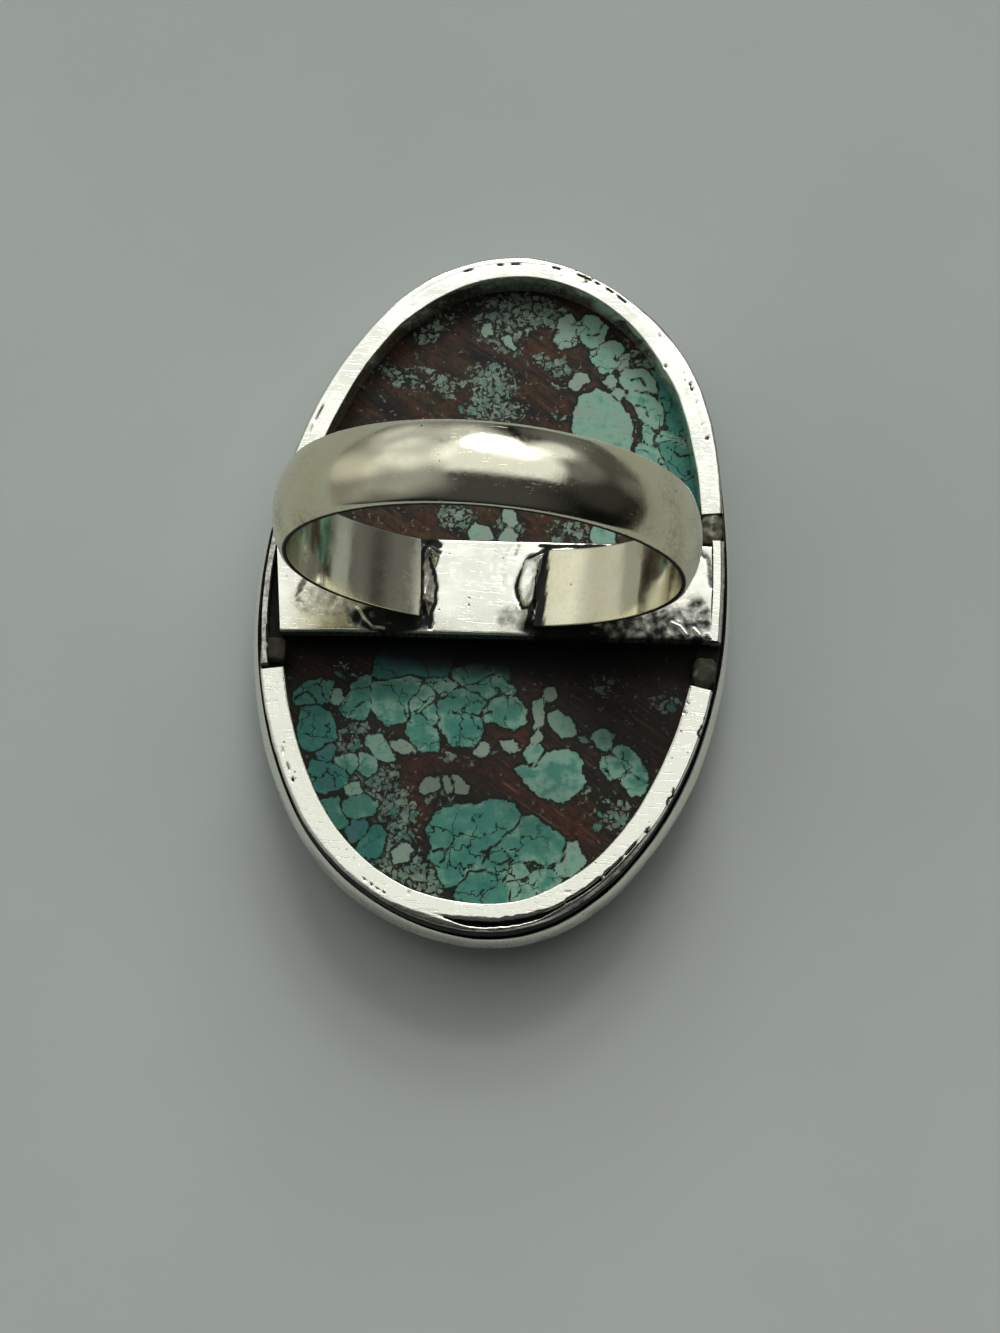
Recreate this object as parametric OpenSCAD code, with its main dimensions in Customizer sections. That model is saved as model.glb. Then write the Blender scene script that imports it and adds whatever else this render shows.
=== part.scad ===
// Silver ring with a large oval turquoise cabochon, lying face down on its crown with the shank standing up.
// +Y runs along the finger, +Z up. The origin is on the surface that the crown rests on, under the middle
// of the bezel. The oval is bent by hand: each quarter has its own reach and its own two arcs, and every
// wall round the stone is the same oval grown outwards, built from eight arcs that share their tangents.

/* [Oval] */
// Reach of the back ring's opening to the right of its waist
reach_right = 10.6; // [10.2:0.1:10.8]
// Reach of the opening to the left of its waist
reach_left = 11.6; // [11.3:0.3:11.9]
// Reach of the opening from its waist up along the finger
reach_up = 18.6; // [18.2:0.1:19.0]
// Reach of the opening from its waist down along the finger
reach_down = 15.8; // [15.5:0.3:16.1]

/* [Back ring] */
// Height of the ring's flat back face above the surface
back_face_z = 6.8; // [6.5:0.1:7.2]
// Width of the flat ring
ring_width = 1.1; // [1.0:0.05:1.2]
// Depth from the back face to the back of the stone
ring_depth = 2.0; // [1.6:0.1:2.2]

/* [Bezel strip] */
// Thickness of the strip that stands outside the ring
strip_thick = 0.4; // [0.35:0.05:0.5]
// How far the strip's edge lies below the back face
strip_drop = 1.4; // [1.2:0.1:1.5]
// Height of the strip's straight wall
strip_height = 2.0; // [1.9:0.1:2.1]

/* [Cross bar] */
// Width of the bar across the back
bar_width = 5.15; // [4.8:0.05:5.4]
// Thickness of the bar
bar_thick = 1.0; // [0.9:0.05:1.1]
// How far the bar stands above the back face
bar_proud = 0.3; // [0.2:0.05:0.4]
// How far the bar is turned from the line across
bar_turn = 3.3; // [2.5:0.1:4]
// Reach of the bar to the left of the middle
bar_left = 11.15; // [11.0:0.05:11.2]
// Reach of the bar to the right of the middle
bar_right = 11.7; // [11.4:0.05:11.8]
// Slant of the bar's left end
bar_slant = 6; // [4:0.5:7]
// Distance of the bar's middle line from the middle of the bezel
bar_y = -0.45; // [-0.6:0.05:-0.3]

/* [Shank] */
// Inside diameter of the finger hole
finger_diameter = 19.5; // [19.4:0.1:19.7]
// Width of the band
band_width = 4.2; // [4.0:0.1:4.4]
// Thickness of the band at its crown
band_crown = 0.9; // [0.85:0.05:1.0]
// Thickness of the band at its edges
band_edge = 0.3; // [0.25:0.05:0.35]
// Where the middle of the band stands, across and along
band_x = -0.27; // [-0.4:0.01:-0.1]
band_y = -0.54; // [-0.7:0.01:-0.4]
// Angle from straight down to the band's left end
band_left_end = 20.7; // [20:0.1:21]
// Angle from straight down to the band's right end
band_right_end = 17.1; // [16.5:0.1:18]
// Clear height from the bar to the lowest point of the finger circle
band_clear = 0.35; // [0.3:0.05:0.4]

/* [Stone] */
// Thickness of the stone at its girdle
girdle_thick = 1.6; // [1.4:0.05:1.65]
// Gap between the stone and the metal
stone_gap = 0.06; // [0.04:0.01:0.08]
// Share of the stone's size that its flat crown takes
crown_share = 0.32; // [0.28:0.02:0.36]

/* [Hidden] */
$fn = 160;
cut = 0.5;

// A quarter's side arc and tip arc meet on the line through their centres. Its run and rise are legs of a
// whole-number triangle, so that all centres and radii are round numbers and the tangents agree exactly.
QUARTERS = [
    // side, end, reach across, reach along, run, rise
    [1, 1, reach_right, reach_up, 35, 12],
    [-1, 1, reach_left, reach_up, 4, 3],
    [-1, -1, reach_left, reach_down, 15, 8],
    [1, -1, reach_right, reach_down, 4, 3]
];
ACROSS = 2;
ALONG = 3;
RUN = 4;
RISE = 5;
waist_x = (reach_left - reach_right) / 2;
waist_y = (reach_down - reach_up) / 2;

// The strip swells out from the ring in short steps, down to the back of the stone
SHOULDER_STEPS = [
    // share of the shoulder's height, share of the strip's thickness
    [0.25, 0.35],
    [0.35, 0.70],
    [0.40, 0.90]
];

// The strip's front edge is pressed over the stone in short steps
LIP_STEPS = [
    // height, how far its outside draws in, how far it reaches over the stone
    [0.25, 0.06, 0.12],
    [0.20, 0.16, 0.20],
    [0.15, 0.32, 0.34]
];

// Pockets in the back ring that let the bar in, cut as deep as the bar's underside
NOTCHES = [
    // side, lower end, upper end
    [1, -4.75, 4.75],
    [-1, -5.4, 1.9]
];

// Solder that fills the pockets beside the bar
POCKET_SOLDER = [
    // x, y, radius, height of its top below the back face
    [11.15, 4.15, 0.62, 0.10],
    [11.45, -3.70, 0.58, 0.15],
    [-11.10, -4.45, 0.68, 0.35]
];

// The dome falls from the girdle to its flat crown in rounds of the same outline, steep first and then flat
DOME_ROUNDS = 8;
DOME_POWER = 1.6;
OUTLINE_POINTS = 72;

strip_out = ring_width + strip_thick;
strip_top_z = back_face_z - strip_drop;
stone_back_z = back_face_z - ring_depth;
strip_bottom_z = stone_back_z - strip_height;
shoulder_h = strip_top_z - stone_back_z;
bar_top_z = back_face_z + bar_proud;
bar_bottom_z = bar_top_z - bar_thick;
band_r = finger_diameter / 2;
band_z = bar_top_z + band_clear + band_r;
band_rise = band_crown - band_edge;
crown_r = (pow(band_width / 2, 2) + pow(band_rise, 2)) / (2 * band_rise);
outer_wall = 0.35;
bead_r = 0.5;
bead_length = 3.6;
far = 40;

// Size of a quarter's triangle, radius of its tip arc and its side arc, and the angle at which they meet
function long_leg(q) = norm([q[RUN], q[RISE]]);
function unit(q) = (q[ALONG] - q[ACROSS]) / (q[RISE] - long_leg(q) + q[RUN]);
function tip_r(q) = q[ALONG] - unit(q) * q[RISE];
function side_r(q) = tip_r(q) + unit(q) * long_leg(q);
function meet(q) = atan2(q[RISE], q[RUN]);
function tip_centre(q) = [0, unit(q) * q[RISE]];
function side_centre(q) = [-unit(q) * q[RUN], 0];

// The quarter that a direction falls in, and the oval's point whose outward normal has that direction
function quarter_of(t) = QUARTERS[floor((t % 360) / 90)];
function on_arc(q, t, grow) = let (
        turn = acos(abs(cos(t))),
        on_side = turn < meet(q),
        centre = on_side ? side_centre(q) : tip_centre(q),
        r = grow + (on_side ? side_r(q) : tip_r(q))
    ) [q[0] * (centre[0] + r * cos(turn)), q[1] * (centre[1] + r * sin(turn))];
function oval_point(t, grow) = [waist_x, waist_y] + on_arc(quarter_of(t), t, grow);

module quarter(q, grow) {
    beyond = tip_centre(q) + 2 * unit(q) * [q[RUN], q[RISE]];
    intersection() {
        translate(side_centre(q)) circle(r = side_r(q) + grow);
        polygon([[0, 0], [far, 0], beyond, tip_centre(q)]);
    }
    intersection() {
        translate(tip_centre(q)) circle(r = tip_r(q) + grow);
        polygon([tip_centre(q), beyond, [0, far]]);
    }
}

module oval(grow) {
    translate([waist_x, waist_y])
        for (q = QUARTERS)
            mirror([q[0] < 0 ? 1 : 0, 0]) mirror([0, q[1] < 0 ? 1 : 0]) quarter(q, grow);
}

// A wall that follows the oval from one grow to another
module oval_band(outer, inner, z, h) {
    translate([0, 0, z]) linear_extrude(h) difference() {
        oval(outer);
        oval(inner);
    }
}

module notch(n) {
    from_x = n[0] > 0 ? 0 : -far;
    translate([0, 0, bar_bottom_z]) linear_extrude(bar_thick + cut) intersection() {
        oval(ring_width - outer_wall);
        translate([from_x, n[1]]) square([far, n[2] - n[1]]);
    }
}

module back_ring() {
    difference() {
        oval_band(ring_width, 0, stone_back_z, ring_depth);
        for (n = NOTCHES) notch(n);
    }
}

// How far the steps of a table reach down, up to and with step i
function drop_to(steps, i) = i < 0 ? 0 : steps[i][0] + drop_to(steps, i - 1);

module bezel_strip() {
    for (i = [0:len(SHOULDER_STEPS) - 1]) {
        step = SHOULDER_STEPS[i];
        oval_band(ring_width + step[1] * strip_thick, ring_width - outer_wall,
            strip_top_z - drop_to(SHOULDER_STEPS, i) * shoulder_h, step[0] * shoulder_h);
    }
    oval_band(strip_out, ring_width, strip_bottom_z, strip_height);
}

module bezel_lip() {
    for (i = [0:len(LIP_STEPS) - 1]) {
        step = LIP_STEPS[i];
        oval_band(strip_out - step[1], ring_width - step[2],
            strip_bottom_z - drop_to(LIP_STEPS, i), step[0]);
    }
}

module cross_bar() {
    lean = bar_width / 2 * tan(bar_slant);
    translate([0, bar_y, bar_bottom_z]) rotate([0, 0, bar_turn]) linear_extrude(bar_thick)
        polygon([
            [-bar_left + lean, -bar_width / 2], [bar_right, -bar_width / 2],
            [bar_right, bar_width / 2], [-bar_left - lean, bar_width / 2]
        ]);
}

// Half-round section of the band, its flat side on the finger circle
module band_section() {
    intersection() {
        translate([band_r, -band_width / 2]) square([band_crown, band_width]);
        translate([band_r + band_crown - crown_r, 0]) circle(r = crown_r);
    }
}

module shank() {
    translate([band_x, band_y, band_z]) rotate([90, 0, 0]) rotate([0, 0, band_right_end - 90])
        rotate_extrude(angle = 360 - band_left_end - band_right_end) band_section();
}

// A bead of solder along one end of the band, half sunk in the bar
module end_bead(angle) {
    x = band_x + (band_r + band_edge) * sin(angle);
    translate([x, band_y, bar_top_z]) rotate([90, 0, 0])
        cylinder(r = bead_r, h = bead_length, center = true);
}

module pocket_solder(s) {
    top = back_face_z - s[3];
    translate([s[0], s[1], bar_bottom_z - cut]) cylinder(r = s[2], h = top - bar_bottom_z + cut);
}

module silver_setting() {
    color("silver") {
        back_ring();
        bezel_strip();
        bezel_lip();
        cross_bar();
        shank();
        end_bead(-band_left_end);
        end_bead(band_right_end);
        for (s = POCKET_SOLDER) pocket_solder(s);
    }
}

// One round of the stone's outline: share of its full size, grow from the oval, height
function outline(share, grow, z) = [for (i = [0:OUTLINE_POINTS - 1])
        let (p = oval_point((i + 0.5) * 360 / OUTLINE_POINTS, grow)) [share * p[0], share * p[1], z]];

module turquoise_stone() {
    side = ring_width - stone_gap;
    back_z = stone_back_z - stone_gap;
    girdle_z = back_z - girdle_thick;
    rounds = [for (i = [0:DOME_ROUNDS]) sin(90 * (1 - i / DOME_ROUNDS))];
    function level(s) = girdle_z * (1 - sqrt(1 - pow(s, DOME_POWER)));
    points = concat(
        outline(1, side, back_z),
        [for (s = rounds) each outline(crown_share + s * (1 - crown_share), side, level(s))]
    );
    n = OUTLINE_POINTS;
    faces = concat(
        [[for (i = [n - 1:-1:0]) i]],
        [for (k = [0:DOME_ROUNDS], i = [0:n - 1])
            let (j = (i + 1) % n) [k * n + i, k * n + j, (k + 1) * n + j, (k + 1) * n + i]],
        [[for (i = [0:n - 1]) (DOME_ROUNDS + 1) * n + i]]
    );
    color("mediumturquoise") polyhedron(points = points, faces = faces, convexity = 2);
}

silver_setting();
turquoise_stone();
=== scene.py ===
"""Looks of a silver ring with a large oval turquoise, lying face down on its stone with the band standing up.

All tables are in millimetres, in the row's frame: +Y along the finger, +Z up, the origin under the middle of
the bezel. A few lengths are in metres, where their comments say so.
"""

import math
import random
from collections import namedtuple

import bmesh
import bpy
import numpy as np
from mathutils import Matrix, Vector, noise


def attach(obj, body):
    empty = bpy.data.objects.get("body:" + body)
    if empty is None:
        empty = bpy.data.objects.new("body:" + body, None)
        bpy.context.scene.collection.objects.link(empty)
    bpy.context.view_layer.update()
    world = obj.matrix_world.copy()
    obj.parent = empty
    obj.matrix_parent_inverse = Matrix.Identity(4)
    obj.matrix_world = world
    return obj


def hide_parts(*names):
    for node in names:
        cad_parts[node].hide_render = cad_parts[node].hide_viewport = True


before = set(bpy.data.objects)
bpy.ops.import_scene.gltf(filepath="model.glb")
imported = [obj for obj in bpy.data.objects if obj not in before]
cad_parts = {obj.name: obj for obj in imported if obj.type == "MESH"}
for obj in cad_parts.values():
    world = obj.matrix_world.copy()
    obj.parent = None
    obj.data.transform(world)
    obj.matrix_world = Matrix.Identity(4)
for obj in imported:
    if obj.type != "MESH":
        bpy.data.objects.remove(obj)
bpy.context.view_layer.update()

MM = 0.001
SILVER = "silver"
TURQUOISE = "turquoise"
SETTING_NODE = "silver_setting"
STONE_NODE = "turquoise_stone"

# The oval, bent by hand: side, end, reach across, reach along, run and rise of each quarter's triangle
WAIST = np.array([0.5, -1.4])
QUARTERS = (
    (1, 1, 10.6, 18.6, 35, 12),
    (-1, 1, 11.6, 18.6, 4, 3),
    (-1, -1, 11.6, 15.8, 15, 8),
    (1, -1, 10.6, 15.8, 4, 3),
)

# Heights of the setting
RING_TOP = 6.8
RING_WIDTH = 1.1
STONE_BACK = 4.74
GIRDLE = 3.14
BAR_TOP = 7.1
BAR_BOTTOM = 6.1
STONE_GROW = 1.04
CROWN_SHARE = 0.32
DOME_POWER = 1.6

# The band round the finger
FINGER_R = 9.75
FINGER = np.array([-0.27, -0.54, 17.2])
BAND_WIDTH = 4.2
BAND_CROWN = 0.9
BAND_EDGE = 0.3
CROWN_RISE = BAND_CROWN - BAND_EDGE
CROWN_R = ((BAND_WIDTH / 2) ** 2 + CROWN_RISE**2) / (2 * CROWN_RISE)

# The bar across the back
BAR_Y = -0.45
BAR_TURN = math.radians(3.3)
BAR_WIDTH = 5.15
BAR_LEFT = 11.24
BAR_RIGHT = 11.42
BAR_SLANT = math.tan(math.radians(4.4))

# How far the rock's pattern leans across and along for each millimetre up
ROCK_LEAN = (0.4, -0.3)

# Unevenness of the hand-made metal: height of the waves, size of their lumps, seed
WAVES = {
    "opening": ((0.015, 1.5, 1), (0.008, 0.4, 2)),
    "outside of the ring": ((0.020, 1.1, 7), (0.010, 0.35, 8)),
    "top of the ring": ((0.012, 4.0, 4),),
    "seam": ((0.020, 0.6, 6),),
    "wall of the strip": ((0.012, 3.5, 21), (0.004, 0.7, 25)),
    "rim of the strip": ((0.030, 2.6, 22), (0.010, 0.5, 23)),
    "pressed lip": ((0.020, 1.6, 24),),
    "band": ((0.022, 4.5, 31), (0.010, 1.6, 32), (0.0035, 0.5, 33)),
    "side of the bar": ((0.012, 1.1, 44),),
    "top of the bar": ((0.018, 3.0, 42), (0.006, 0.8, 43)),
    "burnt lines across": ((0.07, 0.45, 47),),
    "burnt lines along": ((0.07, 0.45, 48),),
    "solder lump": ((1.0, 0.42, 51), (0.5, 0.20, 52)),
}


# Small tools


def ramp(low, high, x):
    """Smooth step from 0 at low to 1 at high, or down from 1 to 0 where high is the smaller."""
    t = np.clip((x - low) / (high - low), 0.0, 1.0)
    return t * t * (3.0 - 2.0 * t)


def swell(points, size, seed):
    """Smooth noise from about -1 to 1 at each point, with lumps of the given size."""
    shift = Vector((seed * 7.31, seed * 3.17, seed * 5.83))
    rows = np.reshape(points, (-1, 3)) / size
    found = np.array([noise.noise(Vector(row) + shift) for row in rows])
    return found.reshape(np.shape(points)[:-1])


def waves(place, points):
    """Unevenness of a place on the metal at each point."""
    return sum(height * swell(points, size, seed) for height, size, seed in WAVES[place])


def flat_points(x, y):
    """Points on one level plane."""
    return np.stack([x, y, np.zeros(np.shape(x))], -1)


def distance_from_line(x, y, places):
    """Distance of each point from a bent line."""
    near = np.full(np.shape(x), 1e9)
    for (ax, ay), (bx, by) in zip(places[:-1], places[1:]):
        dx, dy = bx - ax, by - ay
        share = np.clip(((x - ax) * dx + (y - ay) * dy) / (dx * dx + dy * dy), 0, 1)
        near = np.minimum(near, np.hypot(x - ax - share * dx, y - ay - share * dy))
    return near


def along_line(x, y, places, reach):
    """How near each point is to a bent line: 1 on it, 0 from reach away."""
    return 1.0 - ramp(0.35 * reach, reach, distance_from_line(x, y, places))


def patch(x, y, centre, size, edge=0.5):
    """1 inside an ellipse, falling to 0 just outside it."""
    far = np.hypot((x - centre[0]) / size[0], (y - centre[1]) / size[1])
    return 1.0 - ramp(1.0 - edge, 1.0 + edge, far)


# The oval


FINE_TURNS = 14400


def oval_at(turn, grow=0.0):
    """Points of the oval where its outward normal has each direction, grown outwards, and those normals."""
    turn = np.asarray(turn, float) % 360
    grow = np.broadcast_to(grow, turn.shape)
    points = np.zeros(turn.shape + (2,))
    for number, (side, end, across, along, run, rise) in enumerate(QUARTERS):
        here = np.floor(turn / 90).astype(int) == number
        long_leg = math.hypot(run, rise)
        unit = (along - across) / (rise - long_leg + run)
        tip_r = along - unit * rise
        side_r = tip_r + unit * long_leg
        lean = np.arccos(np.abs(np.cos(np.radians(turn))))
        on_side = lean < math.atan2(rise, run)
        r = grow + np.where(on_side, side_r, tip_r)
        x = np.where(on_side, -unit * run, 0.0) + r * np.cos(lean)
        y = np.where(on_side, 0.0, unit * rise) + r * np.sin(lean)
        points[here] = (WAIST + np.stack([side * x, end * y], -1))[here]
    normal = np.stack([np.cos(np.radians(turn)), np.sin(np.radians(turn))], -1)
    return points, normal


def even_turns(count):
    """Directions of the oval's normal at even steps along it."""
    fine = np.linspace(0, 360, FINE_TURNS + 1)[:-1] + 180 / FINE_TURNS
    points, _ = oval_at(fine)
    steps = np.linalg.norm(np.roll(points, -1, axis=0) - points, axis=1)
    run = np.concatenate([[0.0], np.cumsum(steps)])
    return np.interp(np.arange(count) * run[-1] / count, run[:-1], fine)


def round_oval(turns, grows, heights):
    """Rows of points round the oval: a row for each turn, with a column for each point of the section."""
    base, normal = oval_at(turns)
    plan = base[:, None, :] + normal[:, None, :] * grows[:, :, None]
    return np.concatenate([plan, heights[:, :, None]], -1)


# Meshes


def piece_from(name, points, faces, replaced, slot_name, crease=35, **marks):
    """A smooth mesh that stands for a CAD node. marks are painted masks, a value a point."""
    mesh = bpy.data.meshes.new(name)
    mesh.from_pydata((np.reshape(points, (-1, 3)) * MM).tolist(), [], faces)
    shape = bmesh.new()
    shape.from_mesh(mesh)
    bmesh.ops.recalc_face_normals(shape, faces=shape.faces[:])
    shape.to_mesh(mesh)
    shape.free()
    mesh.update()
    mesh.shade_smooth()
    mesh.set_sharp_from_angle(angle=math.radians(crease))
    for mark, values in marks.items():
        layer = mesh.attributes.new(mark, "FLOAT", "POINT")
        layer.data.foreach_set("value", np.clip(np.ravel(values), 0, 1).astype(np.float32))
    piece = bpy.data.objects.new(name, mesh)
    bpy.context.scene.collection.objects.link(piece)
    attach(piece, "root")
    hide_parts(replaced)
    return piece


def skin_faces(rows, columns, ring_rows, ring_columns):
    """Quads over a grid of points. ring_rows joins the last row to the first, ring_columns the columns."""
    faces = []
    for i in range(rows if ring_rows else rows - 1):
        for j in range(columns if ring_columns else columns - 1):
            k, m = (i + 1) % rows, (j + 1) % columns
            faces.append((i * columns + j, k * columns + j, k * columns + m, i * columns + m))
    return faces


def capped_faces(rows, columns):
    """Quads round a bar of sections, with one face across each end."""
    first, last = range(columns), range((rows - 1) * columns, rows * columns)
    return skin_faces(rows, columns, False, True) + [tuple(first), tuple(reversed(last))]


# Back ring

# Edges of the hand-cut ring: normal's direction, where it starts and where it ends, out from the opening
RING_EDGES = (
    (0, -0.10, 1.00), (9, -0.05, 1.10), (12, 0.00, 1.20), (16, -0.03, 1.30), (20, -0.15, 1.17),
    (25, -0.25, 1.08), (30, -0.33, 1.02), (40, -0.36, 0.86), (50, -0.30, 0.77), (60, -0.25, 0.80),
    (70, -0.15, 0.86), (80, -0.10, 1.00), (90, -0.06, 1.10), (110, -0.10, 1.12), (125, -0.10, 1.18),
    (135, -0.05, 1.20), (140, 0.00, 1.21), (145, 0.12, 1.25), (150, 0.14, 1.28), (157, 0.02, 1.25),
    (165, -0.08, 1.10), (172, -0.09, 0.92), (180, -0.10, 0.86), (187, -0.15, 0.90), (191, -0.20, 1.06),
    (200, -0.15, 1.12), (215, -0.10, 1.17), (230, -0.02, 1.21), (240, 0.05, 1.27), (250, 0.09, 1.34),
    (260, 0.05, 1.42), (270, 0.00, 1.46), (285, 0.00, 1.44), (300, -0.13, 1.32), (310, -0.14, 1.22),
    (320, -0.09, 1.22), (330, -0.03, 1.25), (340, -0.15, 1.17), (350, -0.22, 1.05), (360, -0.10, 1.00),
)

# Seam between the flat ring and the wire round it: normal's direction, distance out, half width, depth, how
# far the wire lies lower at the seam, how far it slopes down to its edge, how broken the seam is
SEAM = (
    (0, 0.72, 0.020, 0.03, 0.02, 0.24, 0.95), (6, 0.74, 0.020, 0.03, 0.02, 0.20, 0.95),
    (9.5, 0.75, 0.020, 0.03, 0.00, 0.04, 0.95), (33, 0.55, 0.020, 0.03, 0.00, 0.02, 0.80),
    (36, 0.52, 0.028, 0.07, 0.00, 0.02, 0.55), (45, 0.45, 0.028, 0.07, 0.00, 0.02, 0.55),
    (54, 0.50, 0.034, 0.10, 0.00, 0.02, 0.52), (62, 0.58, 0.034, 0.10, 0.00, 0.02, 0.48),
    (75, 0.68, 0.034, 0.10, 0.00, 0.02, 0.45), (100, 0.70, 0.034, 0.10, 0.00, 0.02, 0.45),
    (112, 0.73, 0.028, 0.08, 0.00, 0.02, 0.50), (128, 0.72, 0.022, 0.06, 0.00, 0.02, 0.56),
    (135, 0.75, 0.015, 0.02, 0.00, 0.02, 0.98), (154, 0.85, 0.015, 0.02, 0.00, 0.02, 0.98),
    (157, 0.88, 0.030, 0.08, 0.00, 0.02, 0.35), (161, 0.88, 0.020, 0.05, 0.00, 0.02, 0.65),
    (165, 0.84, 0.015, 0.02, 0.00, 0.03, 0.98), (192, 0.80, 0.015, 0.02, 0.00, 0.03, 0.98),
    (200, 0.73, 0.020, 0.04, 0.00, 0.03, 0.75), (206.5, 0.72, 0.030, 0.08, 0.00, 0.03, 0.25),
    (208, 0.75, 0.015, 0.02, 0.00, 0.03, 0.98), (236, 0.85, 0.015, 0.02, 0.00, 0.03, 0.98),
    (247, 0.92, 0.015, 0.02, 0.00, 0.03, 0.98), (252, 0.95, 0.015, 0.02, 0.00, 0.07, 0.98),
    (258, 0.92, 0.015, 0.03, 0.00, 0.12, 0.90), (264, 1.00, 0.050, 0.20, 0.03, 0.14, 0.30),
    (268, 1.06, 0.110, 0.70, 0.12, 0.08, 0.05), (280, 1.07, 0.120, 0.80, 0.14, 0.08, 0.00),
    (288, 1.05, 0.110, 0.70, 0.13, 0.10, 0.05), (295, 1.00, 0.070, 0.50, 0.10, 0.15, 0.10),
    (299, 0.93, 0.040, 0.20, 0.06, 0.20, 0.50), (302, 0.87, 0.055, 0.40, 0.08, 0.25, 0.10),
    (316, 0.84, 0.055, 0.40, 0.08, 0.25, 0.10), (320, 0.82, 0.035, 0.20, 0.05, 0.22, 0.30),
    (327, 0.93, 0.030, 0.15, 0.03, 0.20, 0.40), (331, 1.04, 0.020, 0.05, 0.00, 0.14, 0.90),
    (337, 1.00, 0.015, 0.02, 0.00, 0.05, 0.98), (350, 0.86, 0.015, 0.02, 0.00, 0.06, 0.98),
    (357, 0.74, 0.015, 0.02, 0.02, 0.24, 0.98), (360, 0.72, 0.020, 0.03, 0.02, 0.24, 0.95),
)

# Pits on the ring: normal's direction, distance out, radius, depth
RING_PITS = (
    (15.0, 0.85, 0.10, 0.08), (16.2, 0.80, 0.08, 0.05), (18.0, 0.75, 0.06, 0.04),
    (20.0, 0.70, 0.08, 0.07), (21.6, 0.70, 0.08, 0.07), (30.5, -0.16, 0.09, 0.06),
    (206.4, 0.72, 0.07, 0.08), (238.6, 0.88, 0.05, 0.07), (241.0, 0.90, 0.05, 0.07),
    (243.0, 0.92, 0.05, 0.07), (245.0, 0.90, 0.05, 0.07), (251.0, 0.35, 0.14, 0.02),
    (329.0, 1.02, 0.10, 0.10), (346.5, -0.08, 0.08, 0.05), (348.0, -0.12, 0.08, 0.05),
    (66.0, 0.20, 0.07, 0.02),
)

# Nicks on the ring: bent line of direction and distance out, reach, depth
RING_NICKS = (
    (((69.6, 0.80), (70.8, 0.55), (72.2, 0.25)), 0.05, 0.05),
    (((71.4, 0.45), (72.6, 0.80)), 0.05, 0.05),
    (((333.5, 1.10), (334.2, 1.02), (335.0, 1.12), (335.8, 0.98)), 0.06, 0.09),
    (((343.8, 1.10), (344.3, 0.92), (345.4, 1.00)), 0.06, 0.09),
    (((302.4, 0.36), (304.2, 0.52)), 0.05, 0.03),
    (((195.5, 0.95), (195.5, 0.35)), 0.06, 0.02),
)

# Pockets cut into the ring for the bar: first and last direction, how far out
POCKETS = (
    (350.6, 357.6, 1.06),
    (357.6, 360.0, 0.43),
    (0.0, 6.7, 0.43),
    (6.7, 8.9, 1.06),
    (173.0, 190.2, 0.62),
    (190.2, 190.9, 1.00),
)
POCKET_FLOOR = 5.5

# Round inner edge of the ring: distance out from the opening, distance below the top
INNER_EDGE = ((0.0, 0.09), (0.01, 0.04), (0.035, 0.01), (0.08, 0.0))
# Round outer edge of the wire: distance out from its side, distance below its slope
OUTER_EDGE = ((-0.07, 0.012), (-0.025, 0.045), (0.0, 0.12))
# Side of the wire down into the slot beside the strip: distance out, height
OUTER_WALL = ((0.01, 6.0), (0.0, POCKET_FLOOR), (-0.05, 5.15))
RING_FOOT = 4.9
SLOT_POINTS = 5

RING_TURNS = 1150
RING_CREASE = 42
FLAT_SHARES = np.arange(1, 12) / 12
WIRE_SHARES = (0.3, 0.6, 0.85)
PIT_EDGE = 0.45
SOOT_PER_MM = 12
# Directions between which the ring is grey where the bar lies over it
BY_BAR = (172, 190.2)

Seam = namedtuple("Seam", "near past half depth drop slope")


def row_at(table, turns):
    """Columns of a table of directions, each read off between its rows."""
    rows = np.array(table)
    return [np.interp(turns, rows[:, 0], rows[:, column]) for column in range(1, rows.shape[1])]


def pocket_at(turns, grows):
    """1 where a place on the ring lies in one of its pockets."""
    inside = np.zeros(grows.shape)
    for first, last, out in POCKETS:
        beside = (turns >= first) & (turns <= last)
        inside = np.maximum(inside, beside[:, None] * (1.0 - ramp(out - 0.05, out + 0.01, grows)))
    return inside


def place_on_oval(turn, out):
    """Level place given by direction and distance out."""
    return tuple(oval_at(turn, out)[0])


def seam_round(turns, spots):
    """The seam at each turn: its two sides, half width and depth, and how the wire beside it lies."""
    out, half, depth, drop, slope, broken = row_at(SEAM, turns)
    dashes = ramp(-0.05, 0.2, swell(spots, 0.42, 3) + 0.7 - 1.5 * broken)
    depth = depth * (0.15 + 0.85 * dashes)
    half = half * (0.8 + 0.4 * dashes) * (1.0 + 0.5 * swell(spots, 0.3, 5) * (depth > 0.3))
    out = out + waves("seam", spots)
    return Seam(out - half, out + half, half, depth, drop, slope)


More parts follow.
